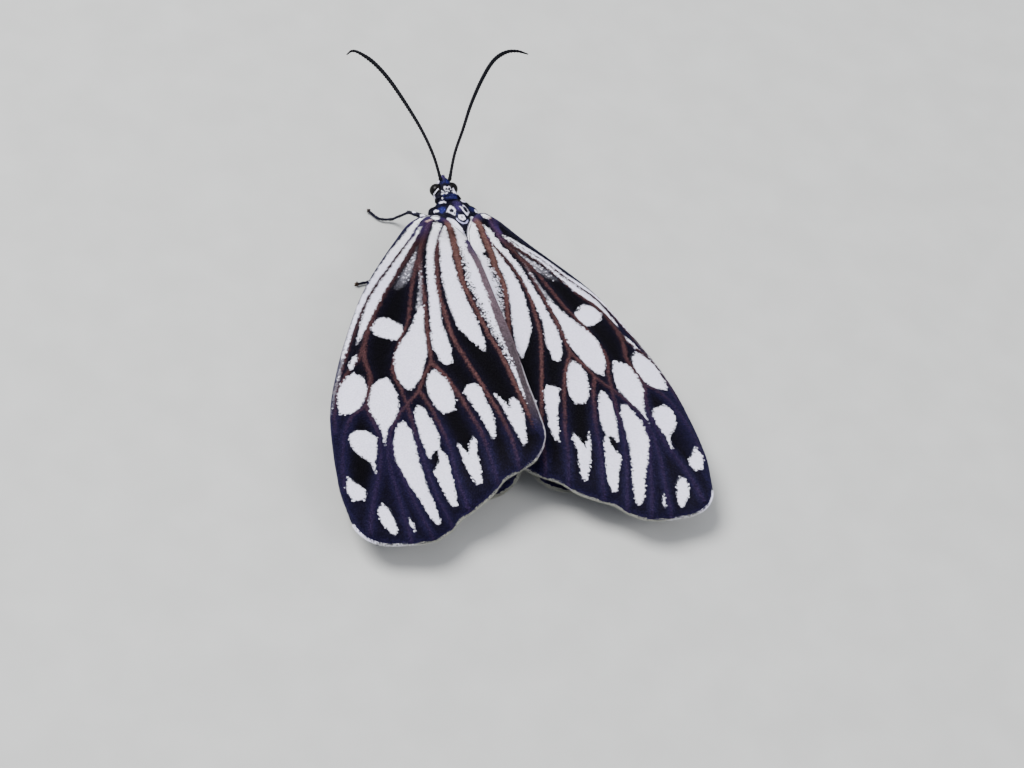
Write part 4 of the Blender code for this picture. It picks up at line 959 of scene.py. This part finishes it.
def scale_field(name, roots, along, up, sizes, tints, unwrap, material, shape=SCALE, lift=WING_SCALE_LIFT):
    """Thousands of closed scales or hairs as one mesh, each coloured alike all over."""
    points, faces = shape
    along = unit(along - up * np.sum(along * up, axis=1)[:, None])
    across = np.cross(up, along)
    count, per = len(roots), len(points)
    placed = (roots[:, None] + along[:, None] * (points[None, :, 0:1] * sizes[:, None, 0:1])
              + across[:, None] * (points[None, :, 1:2] * sizes[:, None, 1:2])
              + up[:, None] * (points[None, :, 2:3] * lift))
    placed[..., 2] = np.maximum(placed[..., 2], -SHIFT[2])
    all_faces = (faces[None] + per * np.arange(count)[:, None, None]).reshape(-1, 3)
    patch = unwrap[:, None] + (points[None, :, :2] - (0.5, 0.0)) * PATCH
    return mesh_from(name, placed.reshape(-1, 3), all_faces, material, np.repeat(tints, per, axis=0),
                     patch.reshape(-1, 2))


def staggered(outline, step):
    """Points in staggered rows inside an outline."""
    low, high = outline.min(axis=0), outline.max(axis=0)
    rows = np.arange(low[1], high[1], step * ROW_SPACING)
    columns = np.arange(low[0], high[0], step)
    grid = np.array([(x + 0.5 * step * (k % 2), y) for k, y in enumerate(rows) for x in columns])
    return grid[inside(outline, grid)]


def jitter(count, amount):
    """Small random moves in the plane."""
    return rng.uniform(-amount, amount, (count, 2))


def wing_unwrap(wing, p):
    """The wing's plane, shrunk into the unwrap."""
    low = wing.outline.min(axis=0) - 0.5
    size = (wing.outline.max(axis=0) - low + 1.0).max()
    return (p - low) / size


def wing_skin(wing, name, material):
    """The membrane: an upper and a lower surface over the wing's plane, joined by a wall round the rim."""
    rim = inset(wing.outline, SKIN_INSET)
    inner = staggered(inset(rim, 0.6 * SKIN_STEP), SKIN_STEP)
    flat = [Vector(p) for p in rim] + [Vector(p) for p in inner]
    count = len(rim)
    edges = [(k, (k + 1) % count) for k in range(count)]
    solved = delaunay_2d_cdt(flat, edges, [list(range(count))], 1, 1e-5)
    p = np.array([tuple(v) for v in solved[0]])
    triangles = np.array([tuple(f) for f in solved[2]])
    place, _, _, normal = wing.axes(p)
    rim_distance = distance_to(rim, p, closed=True)
    top = place + normal * wing.half_thickness(p, rim_distance, True)[:, None]
    bottom = place - normal * wing.half_thickness(p, rim_distance, False)[:, None]
    directed = [(face[k], face[(k + 1) % 3]) for face in triangles.tolist() for k in range(3)]
    known = set(directed)
    open_edges = [(a, b) for a, b in directed if (b, a) not in known]
    n = len(p)
    walls = [(b, a, a + n) for a, b in open_edges] + [(b, a + n, b + n) for a, b in open_edges]
    faces = np.vstack([triangles, triangles[:, ::-1] + n, np.array(walls)])
    if np.cross(*(place[triangles[0, 1:]] - place[triangles[0, 0]]))[2] < 0:
        faces = faces[:, ::-1]
    tint = np.vstack([wing.tint(p)[0], wing.tint(p, upper=False)[0]])
    skin = mesh_from(f"{name}_skin", np.vstack([top, bottom]), faces, material, tint, smooth=True)
    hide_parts(name)
    return skin


def wing_scales(wing, name, upper, material):
    """The coat of one side of a wing, in pieces under the limit of triangles."""
    step, root_inset = SCALE_STEPS[wing.kind if upper else "under"]
    rim = inset(wing.outline, SKIN_INSET)
    p = staggered(inset(rim, root_inset), step)
    p = p + jitter(len(p), SCALE_JITTER * step)
    place, u, v, normal = wing.axes(p)
    half = wing.half_thickness(p, distance_to(rim, p, closed=True), upper)
    out = p - wing.fan
    out = unit(out + rng.normal(0, FAN_SPREAD, out.shape) * np.linalg.norm(out, axis=1)[:, None])
    along = unit(u * out[:, :1] + v * out[:, 1:])
    up = normal if upper else -normal
    colour, white = wing.tint(p + TINT_AHEAD * step * out + jitter(len(p), TINT_JITTER), upper)
    shade = np.where(white, rng.uniform(*WHITE_SHADES, len(p)), rng.uniform(*DARK_SHADES, len(p)))
    sizes = step * np.stack([rng.uniform(*SCALE_LENGTHS, len(p)), rng.uniform(*SCALE_WIDTHS, len(p))], axis=1)
    word = "upper" if upper else "lower"
    roots, tints, unwrap = place + up * half[:, None], colour * shade[:, None], wing_unwrap(wing, p)
    pieces = []
    parts = 1 + len(p) * len(SCALE[1]) // PIECE_LIMIT
    for k in range(parts):
        few = slice(k * len(p) // parts, (k + 1) * len(p) // parts)
        pieces.append(scale_field(f"{name}_{word}_scales_{k + 1}", roots[few], along[few], up[few],
                                  sizes[few], tints[few], unwrap[few], material))
    return pieces


def wing_fringe(wing, name, material):
    """Hair scales round the rim: pale ones on the outer margin, short dark ones elsewhere."""
    rim = inset(closed_curve(wing.corners, FRINGE_STEP), SKIN_INSET)
    step = np.roll(rim, -1, axis=0) - np.roll(rim, 1, axis=0)
    out = unit(np.stack([step[:, 1], -step[:, 0]], axis=1))
    if inside(wing.outline, rim[:1] + out[:1] * 0.3)[0]:
        out = -out
    facing = out[:, 0] + FRINGE_TILT * out[:, 1] if wing.fore else -out[:, 1]
    margin = np.tile(facing > FRINGE_FACING[wing.kind], FRINGE_ROWS)
    tipward = np.array((1.0, 0.0)) if wing.fore else np.array((0.0, -1.0))
    swept = np.where(facing > SWEEP_FACING, FRINGE_SWEEP, FRONT_SWEEP)[:, None]
    start, lean = [], []
    for row in range(FRINGE_ROWS):
        start.append(rim + jitter(len(rim), FRINGE_JITTER) - out * (FRINGE_ROOT + FRINGE_ROOT_PER_ROW * row))
        sideways = out[:, ::-1] * (-1, 1) * rng.normal(0, FRINGE_SPREAD, (len(rim), 1))
        lean.append(unit(out + tipward * swept + sideways))
    start, lean = np.vstack(start), np.vstack(lean)
    reach = np.where(margin, FRINGE_LONG[wing.kind], FRINGE_SHORT) * rng.uniform(*FRINGE_LENGTHS, len(start))
    place, u, v, normal = wing.axes(start)
    along = unit(u * lean[:, :1] + v * lean[:, 1:])
    height = (np.repeat(np.arange(FRINGE_ROWS), len(rim)) - (FRINGE_ROWS - 1) / 2) * FRINGE_ROW_HEIGHT
    dark = NAVY if wing.fore else BLACK
    colour = np.where(margin[:, None], FRINGE_GREY * rng.uniform(*FRINGE_SHADES, (len(start), 1)), dark)
    if wing.fore:
        span, chord = start.T
        apex = fade_in(span, *APEX_SPAN) * (1 - fade_in(chord, *APEX_CHORD))
        bright = np.maximum(apex, EDGE_SHARE * fade_in(span, *EDGE_SPAN))
        white = (rng.random(len(start)) < bright) & margin
        colour = np.where(white[:, None], WHITE, colour)
        # hairs on the rear edge: grey, turning into the painted highlight further out
        rear = ~margin & (chord > REAR_HAIR_CHORD) & (span > REAR_HAIR_START)
        grey = mix(REAR_HAIR_SHADE * MARGIN_GREY, REAR_EDGE_HIGHLIGHT, fade_in(span, *REAR_HAIR_HIGHLIGHT_SPAN))
        colour = np.where(rear[:, None], grey, colour)
    sizes = np.stack([reach, np.full(len(start), FRINGE_WIDTH)], axis=1)
    return scale_field(f"{name}_fringe", place + normal * height[:, None], along, normal, sizes, colour,
                       wing_unwrap(wing, start), material, HAIR, FRINGE_LIFT)


def new_surface(name, roughness, specular):
    """A material with its nodes, its links and its shader."""
    material = bpy.data.materials.new(name)
    material.use_nodes = True
    nodes, links = material.node_tree.nodes, material.node_tree.links
    shader = nodes["Principled BSDF"]
    shader.inputs["Roughness"].default_value = roughness
    shader.inputs["Specular IOR Level"].default_value = specular
    return material, nodes, links, shader


def add_relief(nodes, links, shader, value, strength, height, invert=False):
    """Lets a texture's value raise the surface by up to height millimetres."""
    bump = nodes.new("ShaderNodeBump")
    bump.invert = invert
    bump.inputs["Strength"].default_value = strength
    bump.inputs["Distance"].default_value = height * MM
    links.new(value, bump.inputs["Height"])
    links.new(bump.outputs["Normal"], shader.inputs["Normal"])


def tinted_material(name, roughness, grain_size, relief, metallic=0.0, specular=0.5, variation=0.15):
    """A surface coloured by its scales, with fine grain in colour and relief."""
    material, nodes, links, shader = new_surface(name, roughness, specular)
    shader.inputs["Metallic"].default_value = metallic
    tint = nodes.new("ShaderNodeAttribute")
    tint.attribute_name = "tint"
    place = nodes.new("ShaderNodeTexCoord")
    noise = nodes.new("ShaderNodeTexNoise")
    noise.inputs["Scale"].default_value = 1 / (grain_size * MM)
    noise.inputs["Detail"].default_value = 3.0
    links.new(place.outputs["Object"], noise.inputs["Vector"])
    grain = nodes.new("ShaderNodeMapRange")
    grain.inputs["To Min"].default_value = 1 - variation
    grain.inputs["To Max"].default_value = 1 + variation
    links.new(noise.outputs["Fac"], grain.inputs["Value"])
    shade = nodes.new("ShaderNodeVectorMath")
    shade.operation = "SCALE"
    links.new(tint.outputs["Color"], shade.inputs[0])
    links.new(grain.outputs["Result"], shade.inputs["Scale"])
    links.new(shade.outputs["Vector"], shader.inputs["Base Color"])
    add_relief(nodes, links, shader, noise.outputs["Fac"], 0.6, relief)
    return material


def plain_material(name, colour, second, roughness, cell, relief, coat=0.0, voronoi=False, specular=0.5):
    """Two colours mixed by fine noise or cells, with the same pattern as relief."""
    material, nodes, links, shader = new_surface(name, roughness, specular)
    shader.inputs["Coat Weight"].default_value = coat
    place = nodes.new("ShaderNodeTexCoord")
    texture = nodes.new("ShaderNodeTexVoronoi" if voronoi else "ShaderNodeTexNoise")
    texture.inputs["Scale"].default_value = 1 / (cell * MM)
    links.new(place.outputs["Object"], texture.inputs["Vector"])
    value = texture.outputs["Distance"] if voronoi else texture.outputs["Fac"]
    ramp = nodes.new("ShaderNodeValToRGB")
    for element, position, tone in zip(ramp.color_ramp.elements, (0.35, 0.7), (colour, second)):
        element.position = position
        element.color = (*tone, 1)
    links.new(value, ramp.inputs["Fac"])
    links.new(ramp.outputs["Color"], shader.inputs["Base Color"])
    add_relief(nodes, links, shader, value, 0.7, relief, invert=voronoi)
    return material


WING_SKIN = tinted_material("wing_skin", 0.7, 0.08, 0.02, specular=0.05)
WING_SCALES = tinted_material("wing_scales", 0.55, 0.05, 0.01, specular=0.05)
FRINGE = tinted_material("fringe_scales", 0.6, 0.05, 0.01, specular=0.2)
BODY_SKIN = tinted_material("body_skin", 0.45, 0.10, 0.03, variation=0.4, specular=0.12)
BODY_SCALES = tinted_material("body_scales", 0.40, 0.05, 0.01, metallic=0.1, variation=0.3, specular=0.14)
PALE_SCALES = tinted_material("pale_body_scales", 0.5, 0.05, 0.01)
EYE = plain_material("eye_facets", (0.0015, 0.0015, 0.002), (0.005, 0.0045, 0.004), 0.25, 0.035, 0.003,
                     coat=0.02, voronoi=True, specular=0.09)
HORN = plain_material("antenna_horn", (0.002, 0.002, 0.003), (0.003, 0.003, 0.006), 0.55, 0.06, 0.02,
                      specular=0.06)
TONGUE = plain_material("tongue", (0.03, 0.02, 0.015), (0.09, 0.05, 0.03), 0.35, 0.08, 0.02)


def add_wings():
    """Skin, fringe and both coats of each wing."""
    for kind in ("forewing", "hindwing"):
        for side, word in SIDES:
            name = f"{kind}_{word}"
            wing = Wing(kind, side)
            pieces = [wing_skin(wing, name, WING_SKIN), wing_fringe(wing, name, FRINGE)]
            pieces += wing_scales(wing, name, True, WING_SCALES)
            pieces += wing_scales(wing, name, False, WING_SCALES)
            for piece in pieces:
                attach(piece, "root")


def move_to_model(bm, centre=(0.0, 0.0, 0.0)):
    """Moves a shape by centre, and then from the wing roots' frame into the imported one."""
    for vertex in bm.verts:
        vertex.co = Vector(to_model([vertex.co + Vector(centre)])[0])


def ellipsoid(centre, radii, turn):
    """An ellipsoid turned about X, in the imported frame."""
    bm = bmesh.new()
    bmesh.ops.create_uvsphere(bm, u_segments=24, v_segments=16, radius=1.0)
    bmesh.ops.scale(bm, vec=radii, verts=bm.verts)
    bmesh.ops.rotate(bm, verts=bm.verts, matrix=Matrix.Rotation(turn, 3, "X"))
    bmesh.ops.translate(bm, vec=centre, verts=bm.verts)
    move_to_model(bm)
    return bm


def tube(path, radii, sides):
    """Points and triangles of a closed tube along a path, with a radius per point and side."""
    along = unit(np.gradient(path, axis=0))
    side_axis = unit(np.cross(along, (0.0, 0.0, 1.0)))
    up_axis = np.cross(side_axis, along)
    angles = 2 * pi * np.arange(sides) / sides
    radii = np.broadcast_to(np.reshape(radii, (len(path), -1)), (len(path), sides))
    ring = (path[:, None] + radii[..., None] * (np.cos(angles)[None, :, None] * side_axis[:, None]
                                                + np.sin(angles)[None, :, None] * up_axis[:, None]))
    n, m = len(path), sides
    k, j = np.meshgrid(np.arange(n - 1), np.arange(m), indexing="ij")
    a, b = k * m + j, k * m + (j + 1) % m
    c, d = a + m, b + m
    faces = np.concatenate([np.stack([a, b, c], -1).reshape(-1, 3), np.stack([b, d, c], -1).reshape(-1, 3)])
    j = np.arange(m)
    first = np.stack([(j + 1) % m, j, np.full(m, n * m)], -1)
    last = np.stack([(n - 1) * m + j, (n - 1) * m + (j + 1) % m, np.full(m, n * m + 1)], -1)
    points = np.vstack([ring.reshape(-1, 3), path[:1], path[-1:]])
    return points, np.vstack([faces, first, last])


def limb_tubes():
    """Paths and radii of the legs' lengths and the palps."""
    def spread(radii, count):
        """The radii at count even steps."""
        return np.interp(np.linspace(0, 1, count), np.linspace(0, 1, len(radii)), radii)

    for hip, knee, ankle, middle, toe in LEGS.values():
        for ends, radii in (((hip, knee), FEMUR_RADII), ((knee, ankle), TIBIA_RADII)):
            path = curve_through(ends, LIMB_STEP)
            yield path, spread(radii, len(path))
        path = curve_through((ankle, middle, toe), FOOT_STEP)
        joint = np.abs(np.sin(pi * FOOT_JOINTS * np.linspace(0, 1, len(path)))) ** FOOT_JOINT_SHARPNESS
        yield path, FOOT_RADIUS - FOOT_PINCH * (1 - joint)
    for side, _ in SIDES:
        path = curve_through([(HEAD_X + side * x, y, z) for x, y, z in PALP_PATH], PALP_STEP)
        yield path, spread(PALP_RADII, len(path))


def swollen_solid(node):
    """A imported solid, moved outwards along its normals."""
    bm = bmesh.new()
    bm.from_mesh(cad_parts[node].data)
    bmesh.ops.remove_doubles(bm, verts=bm.verts, dist=1e-7)
    bm.normal_update()
    for vertex in bm.verts:
        vertex.co += vertex.normal * SKIN_CLOSING * MM
    return bm


def swollen_limb(line, radii):
    """A closed tube round a limb, wider and longer than the limb."""
    first, last = line[0] - line[1], line[-1] - line[-2]
    reach = SKIN_CLOSING / 2
    line = np.vstack([line[:1] + unit(first[None]) * reach, line, line[-1:] + unit(last[None]) * reach])
    points, faces = tube(line, np.concatenate([radii[:1], radii, radii[-1:]]) + SKIN_CLOSING, LIMB_SIDES)
    mesh = bpy.data.meshes.new("limb")
    mesh.from_pydata([tuple(q) for q in to_model(points)], [], [tuple(int(i) for i in f) for f in faces])
    return mesh


def swollen_body():
    """Head, trunk and limbs as overlapping shapes in one mesh."""
    shapes = [swollen_solid(node) for node in SWOLLEN_NODES]
    for centre, radii, turn in BODY_LUMPS:
        shapes.append(ellipsoid(centre, [r + SKIN_CLOSING for r in radii], turn))
    meshes = []
    for bm in shapes:
        meshes.append(bpy.data.meshes.new("shape"))
        bm.to_mesh(meshes[-1])
        bm.free()
    meshes += [swollen_limb(line, radii) for line, radii in limb_tubes()]
    joined = bmesh.new()
    for mesh in meshes:
        joined.from_mesh(mesh)
        bpy.data.meshes.remove(mesh)
    whole = bpy.data.meshes.new("body_skin")
    joined.to_mesh(whole)
    joined.free()
    return whole


def body_skin():
    """One skin over head, trunk and legs: swollen shapes that join, and then shrink under the coat."""
    obj = add_object("body_skin", swollen_body())
    remesh = obj.modifiers.new("remesh", "REMESH")
    remesh.mode = "VOXEL"
    remesh.voxel_size = SKIN_VOXEL * MM
    remesh.use_smooth_shade = True
    smooth = obj.modifiers.new("smooth", "SMOOTH")
    smooth.factor = SKIN_SMOOTHING
    smooth.iterations = SKIN_SMOOTH_ROUNDS
    result = evaluated_mesh(obj)
    obj.modifiers.clear()
    obj.data = result
    count = len(result.vertices)
    co, normal = np.zeros(count * 3), np.zeros(count * 3)
    result.vertices.foreach_get("co", co)
    result.vertices.foreach_get("normal", normal)
    co = co.reshape(-1, 3) - normal.reshape(-1, 3) * (SKIN_CLOSING + SKIN_DEPTH) * MM
    co[:, 2] = np.maximum(co[:, 2], 0.0)
    result.vertices.foreach_set("co", co.ravel())
    result.update()
    set_tint(result, body_tint(co / MM - SHIFT)[0])
    result.materials.clear()
    result.materials.append(BODY_SKIN)
    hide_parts(*TRUNK_NODES, *LEG_NODES)
    return obj


def body_tint(p):
    """Blue-black with brighter blue fields and white spots; white rings the abdomen below and beside."""
    x, y, z = p.T
    flat = p[:, :2]
    colour = np.broadcast_to(BLUE_BLACK, p.shape)
    u, v, w = 2 * pi / BLOTCH * np.stack([x + 0.4 * y, y - 0.3 * x + 0.2 * z, z + 0.5 * x])
    blotch = 0.95 + 0.75 * np.sin(u + 1.3 * np.sin(0.6 * v)) * np.sin(v + np.sin(0.7 * w))
    shining = (BLUE_FIELDS, METAL_BLUE, BLUE_FADE), (VIOLET_FIELDS, METAL_VIOLET, VIOLET_FADE)
    for fields, metal, fade in shining:
        for centre, radius, strength in fields:
            near = 1 - fade_in(np.linalg.norm(p - centre, axis=1), radius * FIELD_CORE, radius * fade)
            colour = mix(colour, metal, strength * near * blotch)
    white = (inside_any(BODY_MARKS, flat) & ~inside_any(BODY_HOLES, flat)) | inside_any(FLANK_STREAKS, flat)
    white &= z > MARKS_BOTTOM
    for centre, radius in SIDE_SPOTS:
        white |= np.linalg.norm(p - centre, axis=1) < radius
    abdomen = (y < ABDOMEN_START) & (np.abs(x) < ABDOMEN_HALF_WIDTH)
    ring = np.mod((-y - RING_START) / RING_STEP, 1.0)
    white |= abdomen & (ring > RING_DARK) & (z < RING_TOP)
    colour = np.where(white[:, None], WHITE, colour)
    line = inside(SHIELD_LINE, flat) & (z > MARKS_BOTTOM)
    colour = np.where(line[:, None], SHIELD_PALE, colour)
    for joints in LEGS.values():
        tip = np.linalg.norm(p - joints[-1], axis=1)
        colour = mix(colour, CLAW_BROWN, 1 - fade_in(tip, *CLAW_START))
    return colour, white | line


def limb_place(p):
    """For each point: which leg's length is near, how far along it, and that length's direction."""
    nearest, which = np.full(len(p), 1e9), np.full(len(p), -1)
    share, direction = np.zeros(len(p)), np.zeros((len(p), 3))
    lengths = [pair for joints in LEGS.values() for pair in zip(joints, joints[1:])]
    for k, (start, end) in enumerate(lengths):
        start, end = np.array(start), np.array(end)
        step = end - start
        t = np.clip((p - start) @ step / (step @ step), 0, 1)
        d = np.linalg.norm(p - start - t[:, None] * step, axis=1)
        closer = d < nearest
        nearest = np.where(closer, d, nearest)
        which = np.where(closer, k, which)
        share = np.where(closer, t, share)
        direction = np.where(closer[:, None], step / np.linalg.norm(step), direction)
    limb = (nearest < LIMB_REACH) & ((np.abs(p[:, 0]) > LIMB_BESIDE) | (p[:, 2] < LIMB_BELOW))
    return limb, which, share, direction


def body_unwrap(p, limb, which, share):
    """The trunk unrolled about its axis, and each length of each leg as a strip beside it."""
    around = np.arctan2(p[:, 0], p[:, 2] - TRUNK_AXIS) / (2 * pi) + 0.5
    around = UNWRAP_GAP + (TRUNK_SHARE - 3 * UNWRAP_GAP) * around
    trunk = np.stack([around, (p[:, 1] + UNWRAP_REAR) / UNWRAP_LENGTH], axis=1)
    turn = np.arctan2(p[:, 2] - LEG_AXIS, p[:, 1]) / (2 * pi) + 0.5
    across = TRUNK_SHARE + UNWRAP_GAP + (1 - 2 * UNWRAP_GAP - TRUNK_SHARE) * share
    strip = np.stack([across, (which + STRIP_GAP + STRIP_SHARE * turn) / LEG_LENGTHS], axis=1)
    return np.where(limb[:, None], strip, trunk)


def skin_triangles(mesh):
    """The corners of each triangle of a mesh, in the wing roots' frame."""
    mesh.calc_loop_triangles()
    corner = np.zeros(len(mesh.loop_triangles) * 3, np.int32)
    mesh.loop_triangles.foreach_get("vertices", corner)
    co = np.zeros(len(mesh.vertices) * 3)
    mesh.vertices.foreach_get("co", co)
    return (co.reshape(-1, 3) / MM - SHIFT)[corner.reshape(-1, 3)]


def skin_coat(tri):
    """Scales all over the body's skin, finer and denser on the front."""
    cross = np.cross(tri[:, 1] - tri[:, 0], tri[:, 2] - tri[:, 0])
    middle = tri.mean(axis=1)
    front = (middle[:, 1] > FINE_REAR) & (middle[:, 2] > FINE_BOTTOM)
    weight = np.linalg.norm(cross, axis=1) / 2 / np.where(front, FINE_SCALE, COARSE_SCALE)
    wanted = int(weight.sum())
    pick = rng.choice(len(tri), wanted, p=weight / weight.sum())
    a, b = rng.random(wanted), rng.random(wanted)
    flip = a + b > 1
    a[flip], b[flip] = 1 - a[flip], 1 - b[flip]
    first, second, third = tri[pick].swapaxes(0, 1)
    roots = first + (second - first) * a[:, None] + (third - first) * b[:, None]
    fine = front[pick]
    limb, _, _, direction = limb_place(roots)
    along = np.where(limb[:, None], direction, REARWARD) + rng.normal(0, LEAN_SPREAD, roots.shape)
    length = np.where(fine, FINE_LENGTH, np.where(limb, LIMB_LENGTH, COARSE_LENGTH))
    length = length * rng.uniform(*LENGTH_SPREAD, wanted)
    middle = roots + 0.5 * length[:, None] * unit(along)
    colour, white = body_tint(middle + rng.normal(0, PLACE_SPREAD, roots.shape))
    return {"root": roots, "normal": unit(cross[pick]), "along": along, "length": length, "fine": fine,
            "colour": colour, "white": white}


def eye_rim_coat(side, line):
    """White scales along the rear rim of an eye."""
    centre = eye_place(side)
    path = curve_through(line, EYE_RIM_STEP)
    path = path + rng.normal(0, EYE_RIM_SPREAD, path.shape)
    out = unit(path - centre)
    count = len(path)
    return {"root": centre + out * (EYE_RADIUS - EYE_RIM_DEPTH), "normal": out,
            "along": rng.normal(REARWARD, LEAN_SPREAD, path.shape), "length": np.full(count, FINE_LENGTH),
            "fine": np.ones(count, bool), "colour": np.tile(WHITE, (count, 1)), "white": np.ones(count, bool)}


def add_body():
    """The body's skin and its coat, in four pieces: fine and coarse, dark and white."""
    skin = body_skin()
    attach(skin, "root")
    parts = [skin_coat(skin_triangles(skin.data))]
    parts += [eye_rim_coat(side, line) for (side, _), line in zip(SIDES, EYE_RIMS)]
    scales = {key: np.concatenate([part[key] for part in parts]) for key in parts[0]}
    keep = (scales["root"][:, 2] > SOLE_CLEARANCE - SHIFT[2]) | (scales["normal"][:, 2] > 0)
    scales = {key: values[keep] for key, values in scales.items()}
    fine, white, length = scales["fine"], scales["white"], scales["length"]
    limb, which, share, _ = limb_place(scales["root"])
    shade = np.exp(rng.normal(BODY_SHADE, BODY_SHADE_SPREAD, len(white)))
    shade[white] = rng.uniform(*BODY_WHITE_SHADES, white.sum())
    scales["size"] = np.stack([length, BODY_SCALE_WIDTH * length], axis=1)
    scales["tint"] = scales["colour"] * shade[:, None]
    scales["unwrap"] = body_unwrap(scales["root"], limb, which, share)
    scales["lift"] = np.where(fine, FINE_LIFT, np.where(limb, LIMB_LIFT, COARSE_LIFT))[:, None, None]
    for word, group, material in (
        ("front_dark", fine & ~white, BODY_SCALES),
        ("front_white", fine & white, PALE_SCALES),
        ("rear_dark", ~fine & ~white, BODY_SCALES),
        ("rear_white", ~fine & white, PALE_SCALES),
    ):
        few = {key: values[group] for key, values in scales.items()}
        coat = scale_field(f"body_{word}_scales", few["root"], few["along"], few["normal"], few["size"],
                           few["tint"], few["unwrap"], material, lift=few["lift"])
        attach(coat, "root")


def eye_place(side):
    """The middle of an eye."""
    lean = EYE_LEAN if side < 0 else (0, 0, 0)
    return np.array((HEAD_X + side * EYE_CENTRE[0], *EYE_CENTRE[1:])) + lean


def add_eyes():
    """The eyes, as fine spheres."""
    for side, word in SIDES:
        bm = bmesh.new()
        bmesh.ops.create_icosphere(bm, subdivisions=5, radius=EYE_RADIUS)
        move_to_model(bm, eye_place(side))
        mesh = bpy.data.meshes.new(f"eye_{word}_facets")
        bm.to_mesh(mesh)
        bm.free()
        mesh.shade_smooth()
        mesh.materials.append(EYE)
        eye = add_object(f"eye_{word}_facets", mesh)
        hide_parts(f"eye_{word}")
        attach(eye, "root")


def add_antennae():
    """Each antenna in short segments that widen forward, with a tooth below each."""
    angles = 2 * pi * np.arange(ANTENNA_SIDES) / ANTENNA_SIDES
    below = np.clip(-np.sin(angles), 0, 1) ** 2
    for word, route in ANTENNAE.items():
        path = curve_through(route, ANTENNA_SEGMENT / ANTENNA_POINTS)
        t = np.linspace(0, 1, len(path))
        phase = np.mod(np.arange(len(path)) / ANTENNA_POINTS, 1.0)
        widening = SEGMENT_WAIST + SEGMENT_FLARE * ease(phase / SEGMENT_FLARE_END)
        tooth = fade_in(t, *TOOTH_START) * (1 - fade_in(t, *TOOTH_END))
        radii = (read_line(ANTENNA_RADII, t) * widening)[:, None]
        radii = radii + (TOOTH_HEIGHT * tooth * phase**2)[:, None] * below
        points, faces = tube(path, radii, ANTENNA_SIDES)
        shaft = mesh_from(f"antenna_{word}_shaft", points, faces, HORN, smooth=True)
        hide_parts(f"antenna_{word}")
        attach(shaft, "root")


def add_tongue():
    """The coiled proboscis under the head."""
    t = np.linspace(0, 1, TONGUE_POINTS)
    radius = TONGUE_INNER + TONGUE_GROWTH * (1 - t)
    angle = 2 * pi * TONGUE_TURNS * t + TONGUE_START_ANGLE
    y, z = TONGUE_CENTRE
    path = np.stack([np.full(len(t), HEAD_X), y + radius * np.cos(angle), z + radius * np.sin(angle)], axis=1)
    path = np.vstack([curve_through([*TONGUE_LEAD, tuple(path[0])], 0.05)[:-1], path])
    curve = bpy.data.curves.new("tongue", "CURVE")
    curve.dimensions = "3D"
    curve.bevel_depth = TONGUE_HALF * MM
    curve.bevel_resolution = 3
    curve.use_fill_caps = True
    spline = curve.splines.new("POLY")
    spline.points.add(len(path) - 1)
    for point, place in zip(spline.points, to_model(path)):
        point.co = (*place, 1.0)
    holder = add_object("tongue_curve", curve)
    mesh = evaluated_mesh(holder)
    bpy.data.objects.remove(holder, do_unlink=True)
    mesh.materials.clear()
    mesh.materials.append(TONGUE)
    mesh.shade_smooth()
    tongue = add_object("tongue_coil", mesh)
    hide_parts("proboscis")
    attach(tongue, "root")


def add_camera():
    """The camera, as fitted to the marks that both forewings show."""
    a, e = CAMERA_AZIMUTH, CAMERA_ELEVATION
    back = np.array((sin(a) * cos(e), -cos(a) * cos(e), sin(e)))
    level = np.array((cos(a), sin(a), 0.0))
    rise = np.cross(back, level)
    right = cos(CAMERA_ROLL) * level + sin(CAMERA_ROLL) * rise
    up = -sin(CAMERA_ROLL) * level + cos(CAMERA_ROLL) * rise
    place = to_model([np.array(CAMERA_TARGET) + back * CAMERA_DISTANCE])[0]
    data = bpy.data.cameras.new("camera")
    data.angle = CAMERA_FOV
    data.clip_start = CAMERA_NEAR
    data.clip_end = CAMERA_FAR
    camera = add_object("camera", data)
    turn = Matrix((right, up, back)).transposed().to_4x4()
    camera.matrix_world = Matrix.Translation(place) @ turn
    bpy.context.scene.camera = camera


def add_light(name, place, size, power):
    """A round lamp turned towards the origin."""
    data = bpy.data.lights.new(name, "AREA")
    data.shape = "DISK"
    data.size = size
    data.energy = power
    light = add_object(name, data)
    light.location = place
    light.rotation_euler = (-Vector(place)).to_track_quat("-Z", "Y").to_euler()


def add_stage():
    """The floor, the even light of the surroundings and the two lamps."""
    bm = bmesh.new()
    bmesh.ops.create_grid(bm, x_segments=4, y_segments=4, size=FLOOR_HALF)
    mesh = bpy.data.meshes.new("floor")
    bm.to_mesh(mesh)
    bm.free()
    floor = add_object("floor", mesh)
    floor.location.z = -FLOOR_DROP
    mesh.materials.append(plain_material("floor_paint", *FLOOR_COLOURS, 0.7, 4.0, 0.02))
    world = bpy.data.worlds.new("studio")
    world.use_nodes = True
    world.node_tree.nodes["Background"].inputs["Color"].default_value = WORLD_COLOUR
    world.node_tree.nodes["Background"].inputs["Strength"].default_value = WORLD_STRENGTH
    bpy.context.scene.world = world
    for light in LIGHTS:
        add_light(*light)


add_camera()
add_wings()
add_body()
add_eyes()
add_antennae()
add_tongue()
add_stage()
